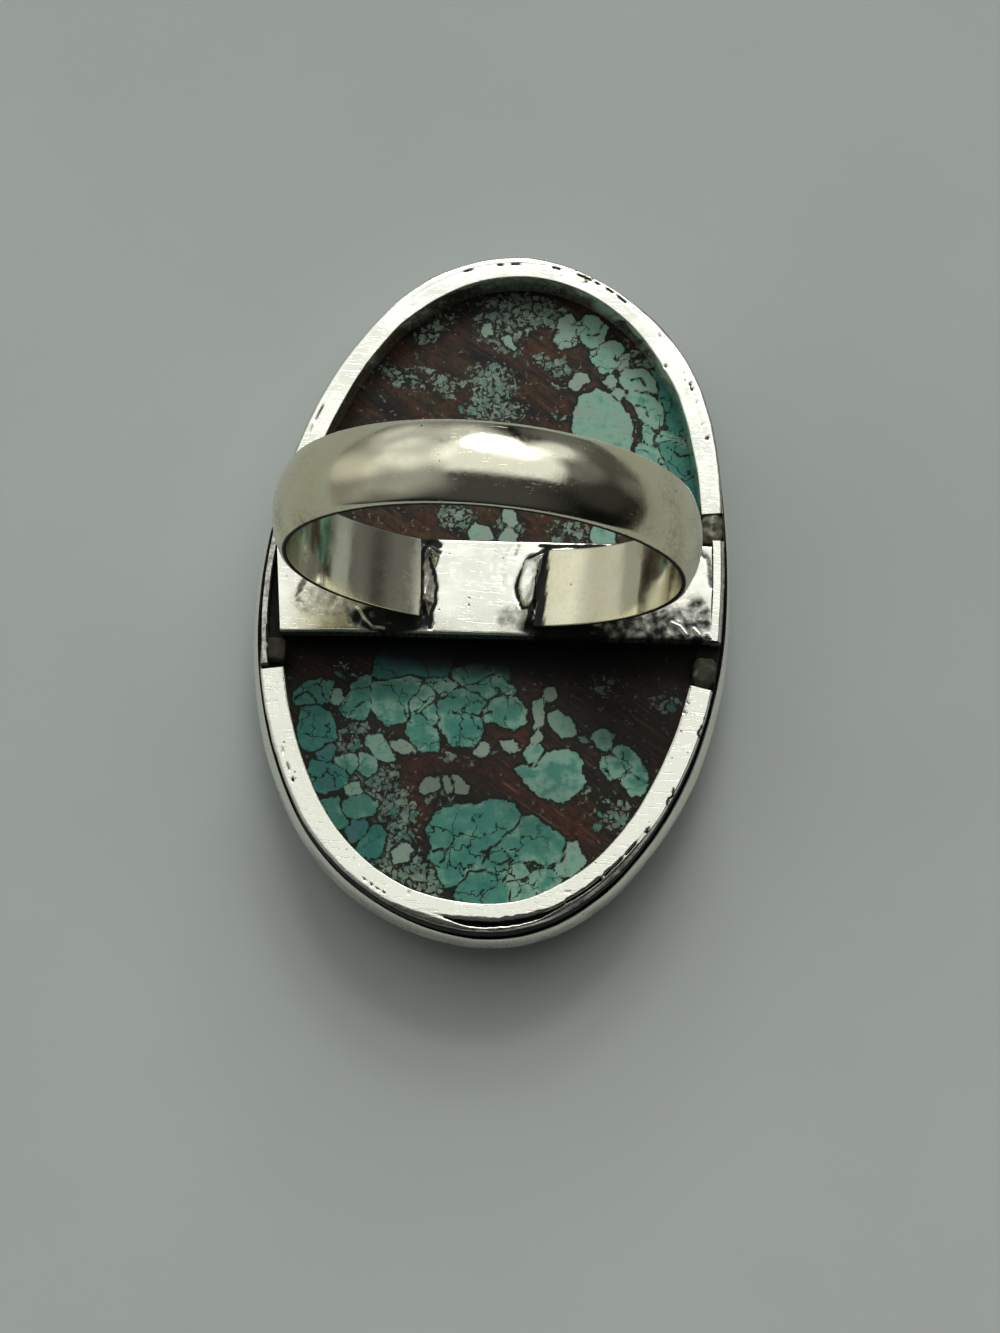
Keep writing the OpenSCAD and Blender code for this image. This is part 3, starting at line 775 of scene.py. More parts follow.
# Nuggets in the stone's back: depth of colour, then the outline
NUGGETS = (
    # lower left
    (0.72, (-9.55, -7.3), (-9.2, -7.05), (-8.7, -7.1), (-8.1, -7.4), (-7.75, -7.9), (-7.6, -8.5),
     (-7.75, -8.95), (-8.2, -9.05), (-8.55, -9.3), (-8.9, -9.4), (-9.3, -9.0), (-9.65, -8.2)),
    (0.62, (-9.95, -6.45), (-9.3, -5.75), (-8.7, -5.6), (-8.15, -5.8), (-8.05, -6.3), (-8.3, -6.7),
     (-9.0, -6.8), (-9.85, -6.95)),
    (0.2, (-8.0, -6.2), (-7.6, -6.05), (-7.5, -6.4), (-7.7, -6.7), (-8.0, -6.6)),
    (0.55, (-7.0, -5.6), (-6.55, -5.3), (-6.25, -5.2), (-6.1, -5.8), (-6.05, -6.8), (-6.2, -7.4),
     (-6.7, -7.5), (-7.2, -7.35), (-7.4, -7.0), (-7.05, -6.2)),
    (0.48, (-5.95, -5.6), (-5.4, -5.35), (-4.7, -5.0), (-4.0, -4.95), (-3.6, -5.1), (-3.5, -5.6),
     (-3.95, -6.1), (-4.1, -6.8), (-4.2, -7.4), (-4.8, -7.55), (-5.4, -7.3), (-5.85, -6.9)),
    (0.38, (-3.5, -5.6), (-3.0, -5.45), (-2.6, -5.8), (-2.75, -6.3), (-3.2, -6.5), (-3.4, -6.9),
     (-3.8, -6.8), (-3.95, -6.4), (-3.6, -6.05)),
    (0.85, (-5.9, -4.9), (-5.8, -4.0), (-5.3, -3.0), (-4.2, -2.6), (-3.0, -2.8), (-2.2, -3.4),
     (-1.9, -4.2), (-2.3, -4.85), (-3.2, -4.8), (-4.4, -4.9), (-5.3, -5.25)),
    (0.4, (-3.1, -5.0), (-2.2, -4.9), (-1.5, -5.25), (-2.0, -5.75), (-2.5, -5.75), (-2.9, -5.4)),
    (0.52, (-3.85, -7.6), (-3.7, -7.2), (-3.35, -7.1), (-2.9, -7.4), (-2.5, -7.7), (-2.3, -8.3),
     (-2.3, -8.9), (-2.9, -8.95), (-3.5, -8.6), (-3.85, -8.1)),
    (0.45, (-3.1, -6.9), (-2.7, -6.5), (-2.45, -6.6), (-2.4, -7.3), (-2.6, -7.5), (-2.95, -7.2)),
    (0.55, (-2.35, -6.5), (-1.9, -5.9), (-1.1, -5.55), (-0.3, -5.6), (0.1, -6.1), (-0.25, -6.6),
     (-0.1, -7.0), (0.0, -7.6), (-0.2, -8.2), (-0.8, -8.55), (-1.5, -8.35), (-2.0, -7.9), (-2.25, -7.2)),
    (0.5, (0.2, -6.1), (0.6, -5.7), (1.3, -5.6), (1.9, -6.0), (2.2, -6.4), (2.15, -6.95), (1.6, -7.35),
     (1.0, -7.2), (0.6, -6.95), (0.05, -7.0), (-0.15, -6.65)),
    (0.48, (-0.9, -5.35), (-0.3, -4.9), (0.4, -4.6), (1.1, -4.9), (1.6, -5.4), (1.3, -5.6), (0.6, -5.6),
     (0.1, -5.95), (-0.3, -5.6)),
    (0.5, (-1.8, -4.5), (-1.0, -4.3), (0.0, -4.1), (1.0, -4.1), (1.2, -4.6), (0.4, -4.6), (-0.3, -4.85),
     (-1.2, -5.15), (-1.7, -4.95)),
    (0.35, (-5.9, -8.5), (-5.4, -8.4), (-5.0, -8.6), (-4.8, -9.0), (-4.5, -9.4), (-4.7, -9.65),
     (-5.2, -9.5), (-5.6, -9.2), (-5.9, -8.9)),
    (0.05, (-4.75, -8.65), (-4.2, -8.6), (-3.4, -8.8), (-3.4, -8.98), (-4.0, -9.1), (-4.6, -8.92)),
    (0.95, (-8.4, -9.5), (-8.1, -9.1), (-7.75, -9.05), (-7.6, -9.4), (-7.8, -9.75), (-8.3, -9.8)),
    (0.8, (-8.75, -10.1), (-8.2, -10.0), (-7.5, -10.0), (-7.0, -10.3), (-6.9, -10.9), (-7.3, -11.4),
     (-7.9, -11.55), (-8.5, -11.3), (-8.9, -10.6)),
    (0.45, (-7.5, -9.9), (-7.1, -9.6), (-6.5, -9.6), (-6.4, -10.0), (-6.7, -10.4), (-7.1, -10.2)),
    (0.4, (-6.35, -9.5), (-5.9, -9.4), (-5.5, -9.7), (-5.35, -10.2), (-5.7, -10.5), (-6.2, -10.3)),
    (0.3, (-6.85, -11.2), (-6.3, -11.05), (-6.05, -11.45), (-6.6, -11.7)),
    (0.6, (-6.95, -12.05), (-6.4, -11.7), (-5.8, -11.75), (-5.2, -12.0), (-5.2, -12.4), (-5.7, -12.75),
     (-6.3, -12.8), (-6.8, -12.5)),
    (0.6, (-8.0, -12.1), (-7.2, -11.9), (-7.0, -12.5), (-6.7, -12.9), (-6.45, -13.3), (-7.1, -13.4)),
    (0.98, (-6.6, -13.45), (-6.2, -13.0), (-5.7, -13.0), (-5.5, -13.3), (-5.8, -13.8), (-6.3, -14.1)),
    (0.75, (-5.75, -13.9), (-5.2, -13.3), (-4.8, -13.2), (-4.6, -13.8), (-4.7, -14.5), (-5.2, -14.85),
     (-5.9, -14.6)),
    (0.05, (-2.85, -10.7), (-2.5, -10.35), (-2.05, -10.5), (-2.05, -10.9), (-2.5, -11.1),
     (-2.85, -11.0)),
    (0.0, (-1.25, -10.22), (-0.9, -10.3), (-0.5, -10.8), (-0.55, -11.05), (-0.95, -10.9)),
    (0.0, (-1.72, -10.38), (-1.45, -10.3), (-1.25, -10.85), (-1.45, -11.0)),
    (0.12, (-3.9, -14.5), (-3.4, -14.0), (-3.1, -14.2), (-3.3, -14.7), (-3.8, -14.9)),
    # bottom
    (0.55, (-2.2, -12.8), (-1.6, -12.0), (-0.9, -11.75), (-0.1, -11.7), (0.7, -11.5), (1.3, -11.35),
     (2.0, -11.5), (2.3, -12.0), (2.3, -12.5), (1.8, -12.95), (1.5, -13.4), (1.5, -13.9), (2.0, -14.35),
     (1.9, -15.0), (1.6, -15.3), (1.0, -15.0), (0.4, -14.95), (0.0, -15.15), (-0.4, -15.6), (-0.7, -15.9),
     (-1.1, -15.95), (-1.5, -15.5), (-1.7, -14.9), (-2.1, -14.6), (-1.9, -14.0), (-2.2, -13.4)),
    (0.58, (-0.5, -15.95), (-0.1, -15.4), (0.5, -15.1), (1.1, -15.2), (1.7, -15.6), (2.1, -16.0),
     (2.0, -16.8), (0.8, -17.1), (-0.5, -17.1), (-0.6, -16.4)),
    (0.55, (1.65, -13.3), (2.2, -12.9), (2.5, -12.1), (3.2, -12.2), (3.6, -12.5), (4.0, -12.8),
     (4.6, -13.0), (4.75, -13.6), (4.6, -14.1), (4.0, -14.4), (3.2, -14.2), (2.6, -14.4), (2.1, -14.2),
     (1.6, -13.8)),
    (0.25, (4.9, -13.3), (5.3, -13.2), (5.7, -13.7), (5.9, -14.2), (5.4, -14.8), (4.8, -14.9),
     (4.55, -14.6), (4.8, -14.2), (4.85, -13.7)),
    (0.38, (3.2, -15.1), (3.6, -14.8), (4.2, -14.8), (4.55, -15.1), (4.6, -15.6), (3.9, -16.1),
     (3.3, -15.5)),
    (0.32, (2.0, -14.6), (2.6, -14.6), (3.0, -14.9), (2.7, -15.3), (2.05, -15.3)),
    (0.35, (1.9, -15.6), (2.6, -15.5), (3.4, -15.9), (3.6, -16.4), (2.4, -16.7), (2.1, -16.0)),
    # lower right
    (0.4, (3.4, -8.6), (4.2, -8.45), (5.0, -8.5), (5.4, -9.0), (5.3, -9.3), (5.5, -9.8), (5.4, -10.3),
     (5.0, -10.7), (4.6, -11.0), (4.0, -10.9), (3.4, -10.8), (2.8, -10.4), (2.3, -9.9), (2.05, -9.55),
     (2.6, -9.4), (3.0, -9.15), (3.1, -8.8)),
    (0.4, (2.4, -8.7), (2.6, -8.2), (3.0, -8.15), (3.35, -8.55), (3.1, -8.95), (2.6, -9.05)),
    (0.42, (5.85, -7.5), (6.1, -7.1), (6.5, -7.05), (6.8, -7.4), (6.85, -7.9), (6.5, -8.1), (6.1, -7.9)),
    (0.45, (6.9, -8.1), (7.4, -7.9), (7.9, -8.1), (8.3, -8.7), (8.7, -9.2), (8.75, -9.6), (8.4, -9.4),
     (8.0, -9.2), (7.7, -9.0), (7.4, -8.6), (7.0, -8.35)),
    (0.45, (6.55, -8.6), (6.9, -8.4), (7.3, -8.7), (7.5, -9.1), (7.3, -9.5), (6.9, -9.65), (6.5, -9.2),
     (6.4, -8.9)),
    (0.4, (7.7, -9.4), (8.0, -9.2), (8.4, -9.5), (8.75, -9.8), (8.6, -10.3), (8.2, -10.45), (7.8, -10.1),
     (7.6, -9.8)),
    (0.25, (3.5, -6.5), (3.9, -6.3), (4.3, -6.5), (4.8, -6.9), (4.85, -7.4), (4.3, -7.6), (3.9, -7.2),
     (3.6, -6.9)),
    (0.12, (2.6, -5.9), (2.9, -5.8), (3.15, -6.4), (3.05, -7.1), (2.8, -7.2), (2.75, -6.6)),
    (0.0, (3.15, -5.1), (3.5, -5.0), (3.65, -5.4), (3.4, -5.65), (3.2, -5.5)),
    (0.0, (2.7, -7.7), (2.95, -7.45), (3.2, -7.7), (3.0, -8.0), (2.75, -7.95)),
    (0.0, (1.15, -8.2), (1.6, -8.1), (1.95, -8.5), (1.6, -8.6)),
    (0.0, (-0.3, -8.7), (0.1, -8.3), (0.4, -8.5), (0.3, -8.9), (-0.1, -8.92)),
    # upper right
    (0.24, (3.6, 10.6), (3.8, 11.2), (4.2, 11.5), (4.6, 11.7), (5.05, 11.65), (5.5, 11.35), (5.9, 10.95),
     (6.3, 10.4), (6.6, 9.8), (6.65, 9.1), (6.5, 8.5), (6.0, 8.05), (5.2, 8.1), (4.2, 8.5), (3.6, 9.3)),
    (0.3, (6.3, 11.6), (6.7, 11.8), (7.3, 11.8), (7.9, 11.3), (8.3, 10.8), (8.2, 10.2), (7.9, 9.8),
     (7.5, 10.1), (7.1, 10.5), (6.7, 11.1)),
    (0.25, (5.8, 12.7), (6.1, 13.05), (6.7, 13.1), (7.4, 12.9), (7.8, 12.4), (7.7, 11.95), (7.0, 11.95),
     (6.3, 12.0), (6.0, 12.3)),
    (0.7, (7.5, 13.1), (8.1, 13.0), (8.6, 12.2), (8.9, 11.3), (8.4, 10.9), (7.95, 11.6), (7.9, 12.2)),
    (0.26, (3.35, 15.5), (3.7, 15.95), (4.2, 15.9), (4.8, 15.3), (4.7, 14.6), (4.3, 14.2), (3.8, 14.3),
     (3.4, 14.9)),
    (0.26, (4.2, 14.0), (4.7, 14.3), (5.3, 14.6), (5.7, 14.3), (5.6, 13.6), (5.3, 13.0), (4.8, 12.9),
     (4.4, 13.3), (4.1, 13.7)),
    (0.15, (2.3, 15.7), (2.8, 15.9), (3.15, 15.2), (3.2, 14.5), (2.9, 14.2), (2.4, 14.1), (2.2, 14.5),
     (2.4, 15.0)),
    (0.08, (5.5, 13.3), (5.6, 13.8), (6.0, 13.9), (6.1, 13.4), (5.8, 13.1)),
    (0.08, (5.05, 12.3), (5.35, 12.6), (5.6, 12.4), (5.35, 12.15)),
    (0.1, (5.45, 11.7), (5.8, 11.95), (6.1, 11.7), (5.8, 11.4)),
    (0.05, (3.05, 11.85), (3.35, 12.45), (3.8, 12.6), (4.0, 12.3), (3.65, 12.0), (3.3, 11.7)),
    (0.62, (8.2, 9.0), (8.6, 9.2), (9.3, 9.0), (10.1, 8.3), (10.2, 7.4), (9.5, 7.0), (9.0, 7.5),
     (8.4, 8.1)),
    (0.42, (7.9, 9.2), (8.3, 9.65), (8.9, 9.7), (9.5, 9.2), (8.6, 9.25), (8.2, 9.0)),
    (0.38, (7.3, 9.9), (7.7, 9.75), (7.9, 9.2), (7.6, 8.9), (7.35, 9.2)),
    (0.68, (8.4, 10.7), (8.9, 10.9), (9.4, 10.2), (9.6, 9.6), (8.8, 9.8), (8.5, 10.2)),
    (0.75, (9.4, 7.0), (10.1, 7.4), (10.6, 6.5), (10.6, 5.6), (9.6, 5.8)),
    (0.35, (7.1, 8.9), (7.9, 8.6), (8.6, 7.9), (8.8, 7.1), (8.0, 6.6), (7.2, 7.0), (7.0, 8.0)),
    (0.4, (4.8, 6.6), (5.8, 7.0), (6.9, 6.4), (6.8, 5.6), (5.6, 5.3), (4.7, 5.8)),
    (0.5, (7.5, 5.8), (8.6, 6.1), (9.2, 5.2), (8.9, 4.3), (7.9, 4.2), (7.3, 4.9)),
    # between the band and the bar
    (0.35, (5.0, 4.1), (5.5, 4.1), (6.1, 3.8), (6.0, 3.2), (5.2, 3.0), (4.95, 3.6)),
    (0.1, (-1.5, 3.2), (-1.2, 3.6), (-0.7, 3.55), (-0.4, 3.1), (-0.8, 2.7), (-1.3, 2.7)),
    (0.1, (0.15, 4.6), (0.5, 4.6), (0.8, 4.0), (0.5, 3.8), (0.2, 4.1)),
    (0.15, (0.1, 3.1), (0.5, 3.6), (0.9, 3.3), (0.8, 2.8), (0.3, 2.7)),
    # top
    (0.08, (-1.85, 14.95), (-1.6, 15.05), (-1.4, 14.75), (-1.6, 14.5), (-1.8, 14.65)),
    (0.08, (-0.75, 14.4), (-0.45, 14.4), (-0.2, 14.1), (-0.1, 13.8), (-0.4, 13.9)),
)

# Cracks that cross the nuggets: bent line
CRACKS = (
    ((-9.95, -6.70), (-9.30, -6.25), (-8.80, -6.80)),
    ((-2.10, -14.30), (-1.50, -14.05), (-1.30, -14.60), (-1.60, -14.85)),
    ((-0.90, -13.60), (-1.30, -14.10)),
    ((0.45, -14.20), (0.75, -14.05), (0.90, -14.45), (1.50, -14.60), (1.90, -14.40)),
    ((0.75, -14.05), (0.60, -14.90)),
    ((1.50, -13.50), (0.95, -13.80), (0.80, -14.05)),
    ((-0.60, -6.60), (-0.25, -6.75), (0.35, -6.50)),
    ((2.60, -9.40), (3.10, -9.25)),
    ((0.60, -16.30), (0.90, -16.05)),
    ((8.20, -9.30), (8.45, -9.60)),
    ((6.70, 11.10), (7.20, 11.00), (7.50, 10.50)),
    ((6.30, 12.50), (6.90, 12.70), (7.20, 12.20)),
    ((8.60, 8.80), (9.30, 8.40), (9.90, 8.50)),
    ((3.80, 14.90), (4.60, 15.00)),
    ((-6.80, -6.90), (-6.40, -6.50)),
)

# Marks of the rock, with painted shade among them: where each is solid and where it ends as shares of its
# half
# size, then its places: middle across and along, half size across and along, turn in degrees, strength
ROCK_MARKS = {
    "crumbs": (0.55, 1.2, (
        (0.4, 16.0, 2.6, 1.0, -8, 0.95), (-0.9, 14.7, 1.5, 1.3, -30, 0.92), (-4.4, 14.7, 1.5, 0.8, 35, 0.55),
        (-5.4, 11.7, 2.4, 0.6, -8, 0.55), (-3.6, 11.3, 1.2, 0.6, -10, 0.70), (-1.2, 11.6, 1.5, 1.5, 0, 0.92),
        (-0.9, 10.2, 1.9, 0.8, 0, 0.95), (2.8, 12.6, 1.0, 0.9, 0, 0.60), (1.4, 13.2, 0.7, 0.5, 0, 0.50),
        (2.6, 10.3, 0.6, 0.5, 0, 0.30), (6.6, 13.4, 1.4, 1.0, -40, 0.70), (8.6, 10.0, 1.6, 2.4, 20, 1.00),
        (-2.4, 4.0, 1.1, 0.9, 0, 0.80), (0.6, 3.8, 0.8, 0.8, 0, 0.70), (3.6, 3.6, 1.3, 0.8, 0, 0.55),
        (-6.4, -8.6, 1.6, 1.2, 0, 0.75), (-5.6, -10.8, 1.7, 1.2, 0, 0.95), (-4.0, -12.4, 1.3, 1.5, 0, 0.90),
        (-4.1, -14.4, 1.6, 1.5, 0, 0.95), (-2.3, -15.6, 1.4, 1.0, -20, 0.95), (2.7, -15.3, 1.6, 0.8, 0, 0.95),
        (-2.0, -11.5, 1.0, 0.5, 0, 0.55), (7.2, -11.4, 1.1, 0.9, -40, 0.75), (5.8, -10.4, 0.6, 0.6, 0, 0.40),
        (6.3, -4.7, 0.8, 0.6, 0, 0.55), (9.4, -5.3, 0.8, 0.6, 0, 0.45), (5.4, -7.6, 0.6, 0.4, -30, 0.50),
        (-3.2, -13.4, 0.5, 1.2, 0, 0.35), (-7.5, -5.0, 0.9, 0.6, 0, 0.35), (-1.5, -9.2, 2.0, 0.35, -8, 0.30),
        (6.7, -12.3, 0.6, 0.5, 0, 0.40), (-3.2, -6.0, 1.2, 1.0, 0, 0.80), (0.1, -8.6, 0.8, 0.4, 0, 0.50),
    )),
    "cracked": (0.7, 1.3, (
        (-3.2, -6.2, 5.4, 2.6, 0, 1.0), (-0.4, -14.6, 5.0, 2.8, 0, 1.0), (-8.6, -9.0, 2.4, 4.6, 0, 1.0),
        (8.8, 9.2, 2.0, 3.8, 0, 1.0), (4.6, 14.4, 2.4, 1.6, 0, 1.0), (7.9, -9.4, 1.8, 1.8, 0, 1.0),
    )),
    # Painted shade: mostly the shadow of the bar, the band and the ring's wall on the back, partly darker
    # rock
    "shade": (0.55, 1.45, (
        (0.0, -3.2, 11.5, 1.5, 0, 0.96), (-0.5, -5.0, 11.0, 1.6, 0, 0.36), (7.6, -6.0, 4.0, 2.6, 0, 0.58),
        (-5.6, -11.0, 3.0, 3.8, 0, 0.26), (-1.0, -10.4, 3.4, 1.3, 0, 0.45), (3.4, -11.6, 2.4, 1.6, 0, 0.28),
        (-8.6, -6.4, 1.8, 1.6, 0, 0.30), (0.0, -10.5, 12.0, 8.0, 0, 0.10), (0.0, 17.0, 3.2, 0.8, 0, 0.40),
    )),
    "red": (0.5, 1.3, (
        (1.9, -8.0, 1.3, 0.6, 0, 0.85), (-3.1, -11.2, 0.9, 2.2, 5, 0.75), (4.6, -12.0, 2.2, 0.9, -32, 0.70),
        (-1.2, -9.4, 2.6, 0.5, -12, 0.55), (1.4, -10.2, 1.6, 0.6, -32, 0.60),
    )),
    "streaked": (0.5, 1.3, (
        (2.4, -10.9, 3.6, 0.9, -32, 1.00), (5.4, -12.6, 2.2, 1.0, -35, 0.80),
        (6.8, -6.2, 3.0, 1.8, -25, 0.45), (-1.0, -9.5, 2.4, 0.6, -15, 0.60),
    )),
}

# How far noise bends and frays the outlines: on the back, on the front, and the seed of that noise, which
# takes its place from the clock where it has none
BENT = (0.10, 0.75)
FRAYED = (0.13, 0.22)
FRAY_SEED = 5
CRACK_GAP = 1.6


# How far a nugget's depth may reach either way in the painted mask, in millimetres
DEPTH_SPAN = 2.0

# Cells of the grid on either face, across and along
GRID_CELLS = (170, 250)
STONE_CREASE = 40
STONE_BEVEL = 0.06

# Steepness in degrees at which the dome's own grid ends, that place as a share of the way out to the rim, and
# the step in steepness from ring to ring beyond it
FRONT_LEAN = 60
FRONT_SHARE = CROWN_SHARE + math.sin(math.radians(FRONT_LEAN)) * (1 - CROWN_SHARE)
LEAN_STEP = 6

# Nuggets scattered over the hidden front: seed, how many are tried, smallest and largest half size, how close
# two may lie as a share of their half sizes, how narrow and how deep in colour they may be, half the field
FRONT_SEED = 21
FRONT_TRIES = 520
FRONT_SIZES = (0.45, 2.5)
FRONT_NEAREST = 0.80
FRONT_NARROW = (0.70, 1.0)
FRONT_SHADES = (0.15, 0.75)
FRONT_FIELD = (12.0, 18.5)


def turned_distance(x, y, centre, size, degrees):
    """Distance from a turned ellipse's middle, 1 on its outline."""
    a = math.radians(degrees)
    u = ((x - centre[0]) * math.cos(a) + (y - centre[1]) * math.sin(a)) / size[0]
    v = (-(x - centre[0]) * math.sin(a) + (y - centre[1]) * math.cos(a)) / size[1]
    return np.hypot(u, v)


def depth_in_outline(x, y, outline):
    """Distance of each point from a closed outline, above 0 inside it."""
    inside = np.zeros(x.shape, bool)
    for (ax, ay), (bx, by) in zip(outline, outline[1:] + outline[:1]):
        crossed = (ay > y) != (by > y)
        if ay != by:
            inside ^= crossed & (x < ax + (y - ay) * (bx - ax) / (by - ay))
    near = distance_from_line(x, y, outline + outline[:1])
    return np.where(inside, near, -near)


def front_nuggets():
    """Nuggets scattered over the hidden front, large first: centre, half sizes, turn, depth of colour."""
    chance = random.Random(FRONT_SEED)
    wide, tall = FRONT_FIELD
    found = []
    for size in sorted((chance.uniform(*FRONT_SIZES) for _ in range(FRONT_TRIES)), reverse=True):
        centre = (chance.uniform(-wide, wide), chance.uniform(-tall, tall))
        if all(math.dist(centre, other) > FRONT_NEAREST * (size + half[0]) for other, half, _, _ in found):
            narrow = size * chance.uniform(*FRONT_NARROW)
            found.append((centre, (size, narrow), chance.uniform(0, 180), chance.uniform(*FRONT_SHADES)))
    return found


def deepest(so_far, inside, shade):
    """The deepest and second deepest nugget at each point, and its colour, with one more counted in."""
    best, second, colour = so_far
    second = np.maximum(second, np.minimum(best, inside))
    return np.maximum(best, inside), second, np.where(inside > best, shade, colour)


def read_places(points, front):
    """Level places at which the rock's pattern is read, bent and frayed by noise."""
    up = points[:, 2] - STONE_BACK
    level = points[:, :2] + up[:, None] * np.array(ROCK_LEAN)
    rows = [Vector(row) for row in flat_points(*level.T)]
    noise.seed_set(FRAY_SEED)
    bend = np.array([noise.noise_vector(row * 0.85) for row in rows])[:, :2]
    fray = np.array([noise.noise_vector(row * 2.3 + Vector((9, 4, 2))) for row in rows])[:, :2]
    bent = np.where(front, BENT[1], BENT[0])[:, None]
    frayed = np.where(front, FRAYED[1], FRAYED[0])[:, None]
    return (level + bent * bend + frayed * fray).T


def nuggets_at(x, y, front):
    """How deep in a nugget each point is, how far from the next one or a crack, and its depth of colour."""
    far = np.full(x.shape, -DEPTH_SPAN)
    nuggets = far, far, np.zeros(x.shape)
    for shade, *outline in NUGGETS:
        nuggets = deepest(nuggets, np.where(front, far, depth_in_outline(x, y, outline)), shade)
    for centre, size, turn, shade in front_nuggets():
        inside = size[1] * (1 - turned_distance(x, y, centre, size, turn))
        nuggets = deepest(nuggets, np.where(front, inside, far), shade)
    best, second, colour = nuggets
    apart = best - second
    for line in CRACKS:
        apart = np.minimum(apart, CRACK_GAP * distance_from_line(x, y, line))
    return best, apart, colour


def rock_mark(x, y, solid, gone, places):
    """The strongest of a mark's places at each point."""
    found = np.zeros(x.shape)
    for across, along, wide, tall, turn, strength in places:
        far = turned_distance(x, y, (across, along), (wide, tall), turn)
        found = np.maximum(found, strength * (1 - ramp(solid, gone, far)))
    return found


def map_stone(points):
    """Painted masks of the stone at each point: its nuggets, veins, the marks of the rock and painted shade.
    """
    front = points[:, 2] < GIRDLE
    x, y = read_places(points, front)
    best, apart, colour = nuggets_at(x, y, front)
    marks = {mark: rock_mark(x, y, *row) for mark, row in ROCK_MARKS.items()}
    # The painted shade lies on the back only
    marks["shade"] = marks["shade"] * ~front
    marks["nugget"] = 0.5 + 0.5 * best / DEPTH_SPAN
    marks["vein"] = apart / DEPTH_SPAN
    marks["nugget_colour"] = colour
    return marks


def rim_towards(angle, grow):
    """How far the oval's outline lies from its middle in each direction."""
    rim, _ = oval_at(np.linspace(0, 360, FINE_TURNS // 2 + 1), grow)
    rim = rim - WAIST
    polar = np.degrees(np.arctan2(rim[:, 1], rim[:, 0])) % 360
    order = np.argsort(polar)
    return np.interp(angle % 360, polar[order], np.linalg.norm(rim, axis=1)[order], period=360)


def wrapped_grid():
    """A grid wrapped into the oval: its points, and their share of the way out to the rim."""
    columns, rows = GRID_CELLS
    across, along = np.meshgrid(np.linspace(-1, 1, columns + 1), np.linspace(-1, 1, rows + 1))
    wide = np.abs(across) > np.abs(along)
    r = np.maximum(np.abs(across), np.abs(along))
    with np.errstate(divide="ignore", invalid="ignore"):
        lean = np.where(wide, 45 * along / across, 90 - 45 * across / along)
    lean = np.nan_to_num(lean) + np.where(np.where(wide, across, along) < 0, 180, 0)
    reach = rim_towards(lean, STONE_GROW)
    x = WAIST[0] + r * reach * np.cos(np.radians(lean))
    y = WAIST[1] + r * reach * np.sin(np.radians(lean))
    return x, y, r


def rim_of(rows, columns):
    """Indices round the edge of a grid, anticlockwise from its lower left corner."""
    lower = list(range(columns))
    right = [i * columns + columns - 1 for i in range(1, rows)]
    upper = [(rows - 1) * columns + j for j in range(columns - 2, -1, -1)]
    left = [i * columns for i in range(rows - 2, 0, -1)]
    return lower + right + upper + left


def dome_height(share):
    """Height of the low dome at a share of the way out to the rim, 0 on its flat crown."""
    low = np.clip((share - CROWN_SHARE) / (1 - CROWN_SHARE), 0, 1)
    return GIRDLE * (1 - np.sqrt(1 - low**DOME_POWER))


def join_rings(outer, inner):
    """Faces between two rings of points of the same number."""
    count = len(outer)
    return [(outer[(i + 1) % count], outer[i], inner[i], inner[(i + 1) % count]) for i in range(count)]


def build_stone():
    """Oval cabochon: flat polished back, upright girdle and a low dome with a nearly flat crown."""
    x, y, share = wrapped_grid()
    plan = np.column_stack([x.ravel(), y.ravel()])
    back = np.column_stack([plan, np.full(x.size, STONE_BACK)])
    dome = dome_height(FRONT_SHARE * share.ravel())
    points = [back, np.column_stack([WAIST + FRONT_SHARE * (plan - WAIST), dome])]
    faces = skin_faces(*x.shape, False, False)
    faces += [tuple(k + x.size for k in face) for face in faces]
    edge = rim_of(*x.shape)
    rings = [(1.0, STONE_BACK - STONE_BEVEL), (1.0, GIRDLE)]
    for lean in np.radians(np.arange(90 - LEAN_STEP, FRONT_LEAN, -LEAN_STEP)):
        out = CROWN_SHARE + math.sin(lean) * (1 - CROWN_SHARE)
        rings.append((out, dome_height(out)))
    ahead = edge
    total = 2 * x.size
    for out, z in rings:
        level = WAIST * (1 - out) + plan[edge] * out
        points.append(np.column_stack([level, np.full(len(edge), z)]))
        here = list(range(total, total + len(edge)))
        faces += join_rings(ahead, here)
        total += len(edge)
        ahead = here
    faces += join_rings(ahead, [k + x.size for k in edge])
    points = np.concatenate(points)
    masks = map_stone(points)
    return piece_from("turquoise_cabochon", points, faces, STONE_NODE, TURQUOISE, STONE_CREASE, **masks)


# Node tools


def tone(red, green, blue):
    """A colour given as it is seen, from 0 to 255, turned into light."""
    seen = np.array([red, green, blue]) / 255.0
    light = np.where(seen <= 0.04045, seen / 12.92, ((seen + 0.055) / 1.055) ** 2.4)
    return (*light.tolist(), 1.0)


# How high a bump of full strength stands
BUMP_DISTANCE = 0.02 * MM


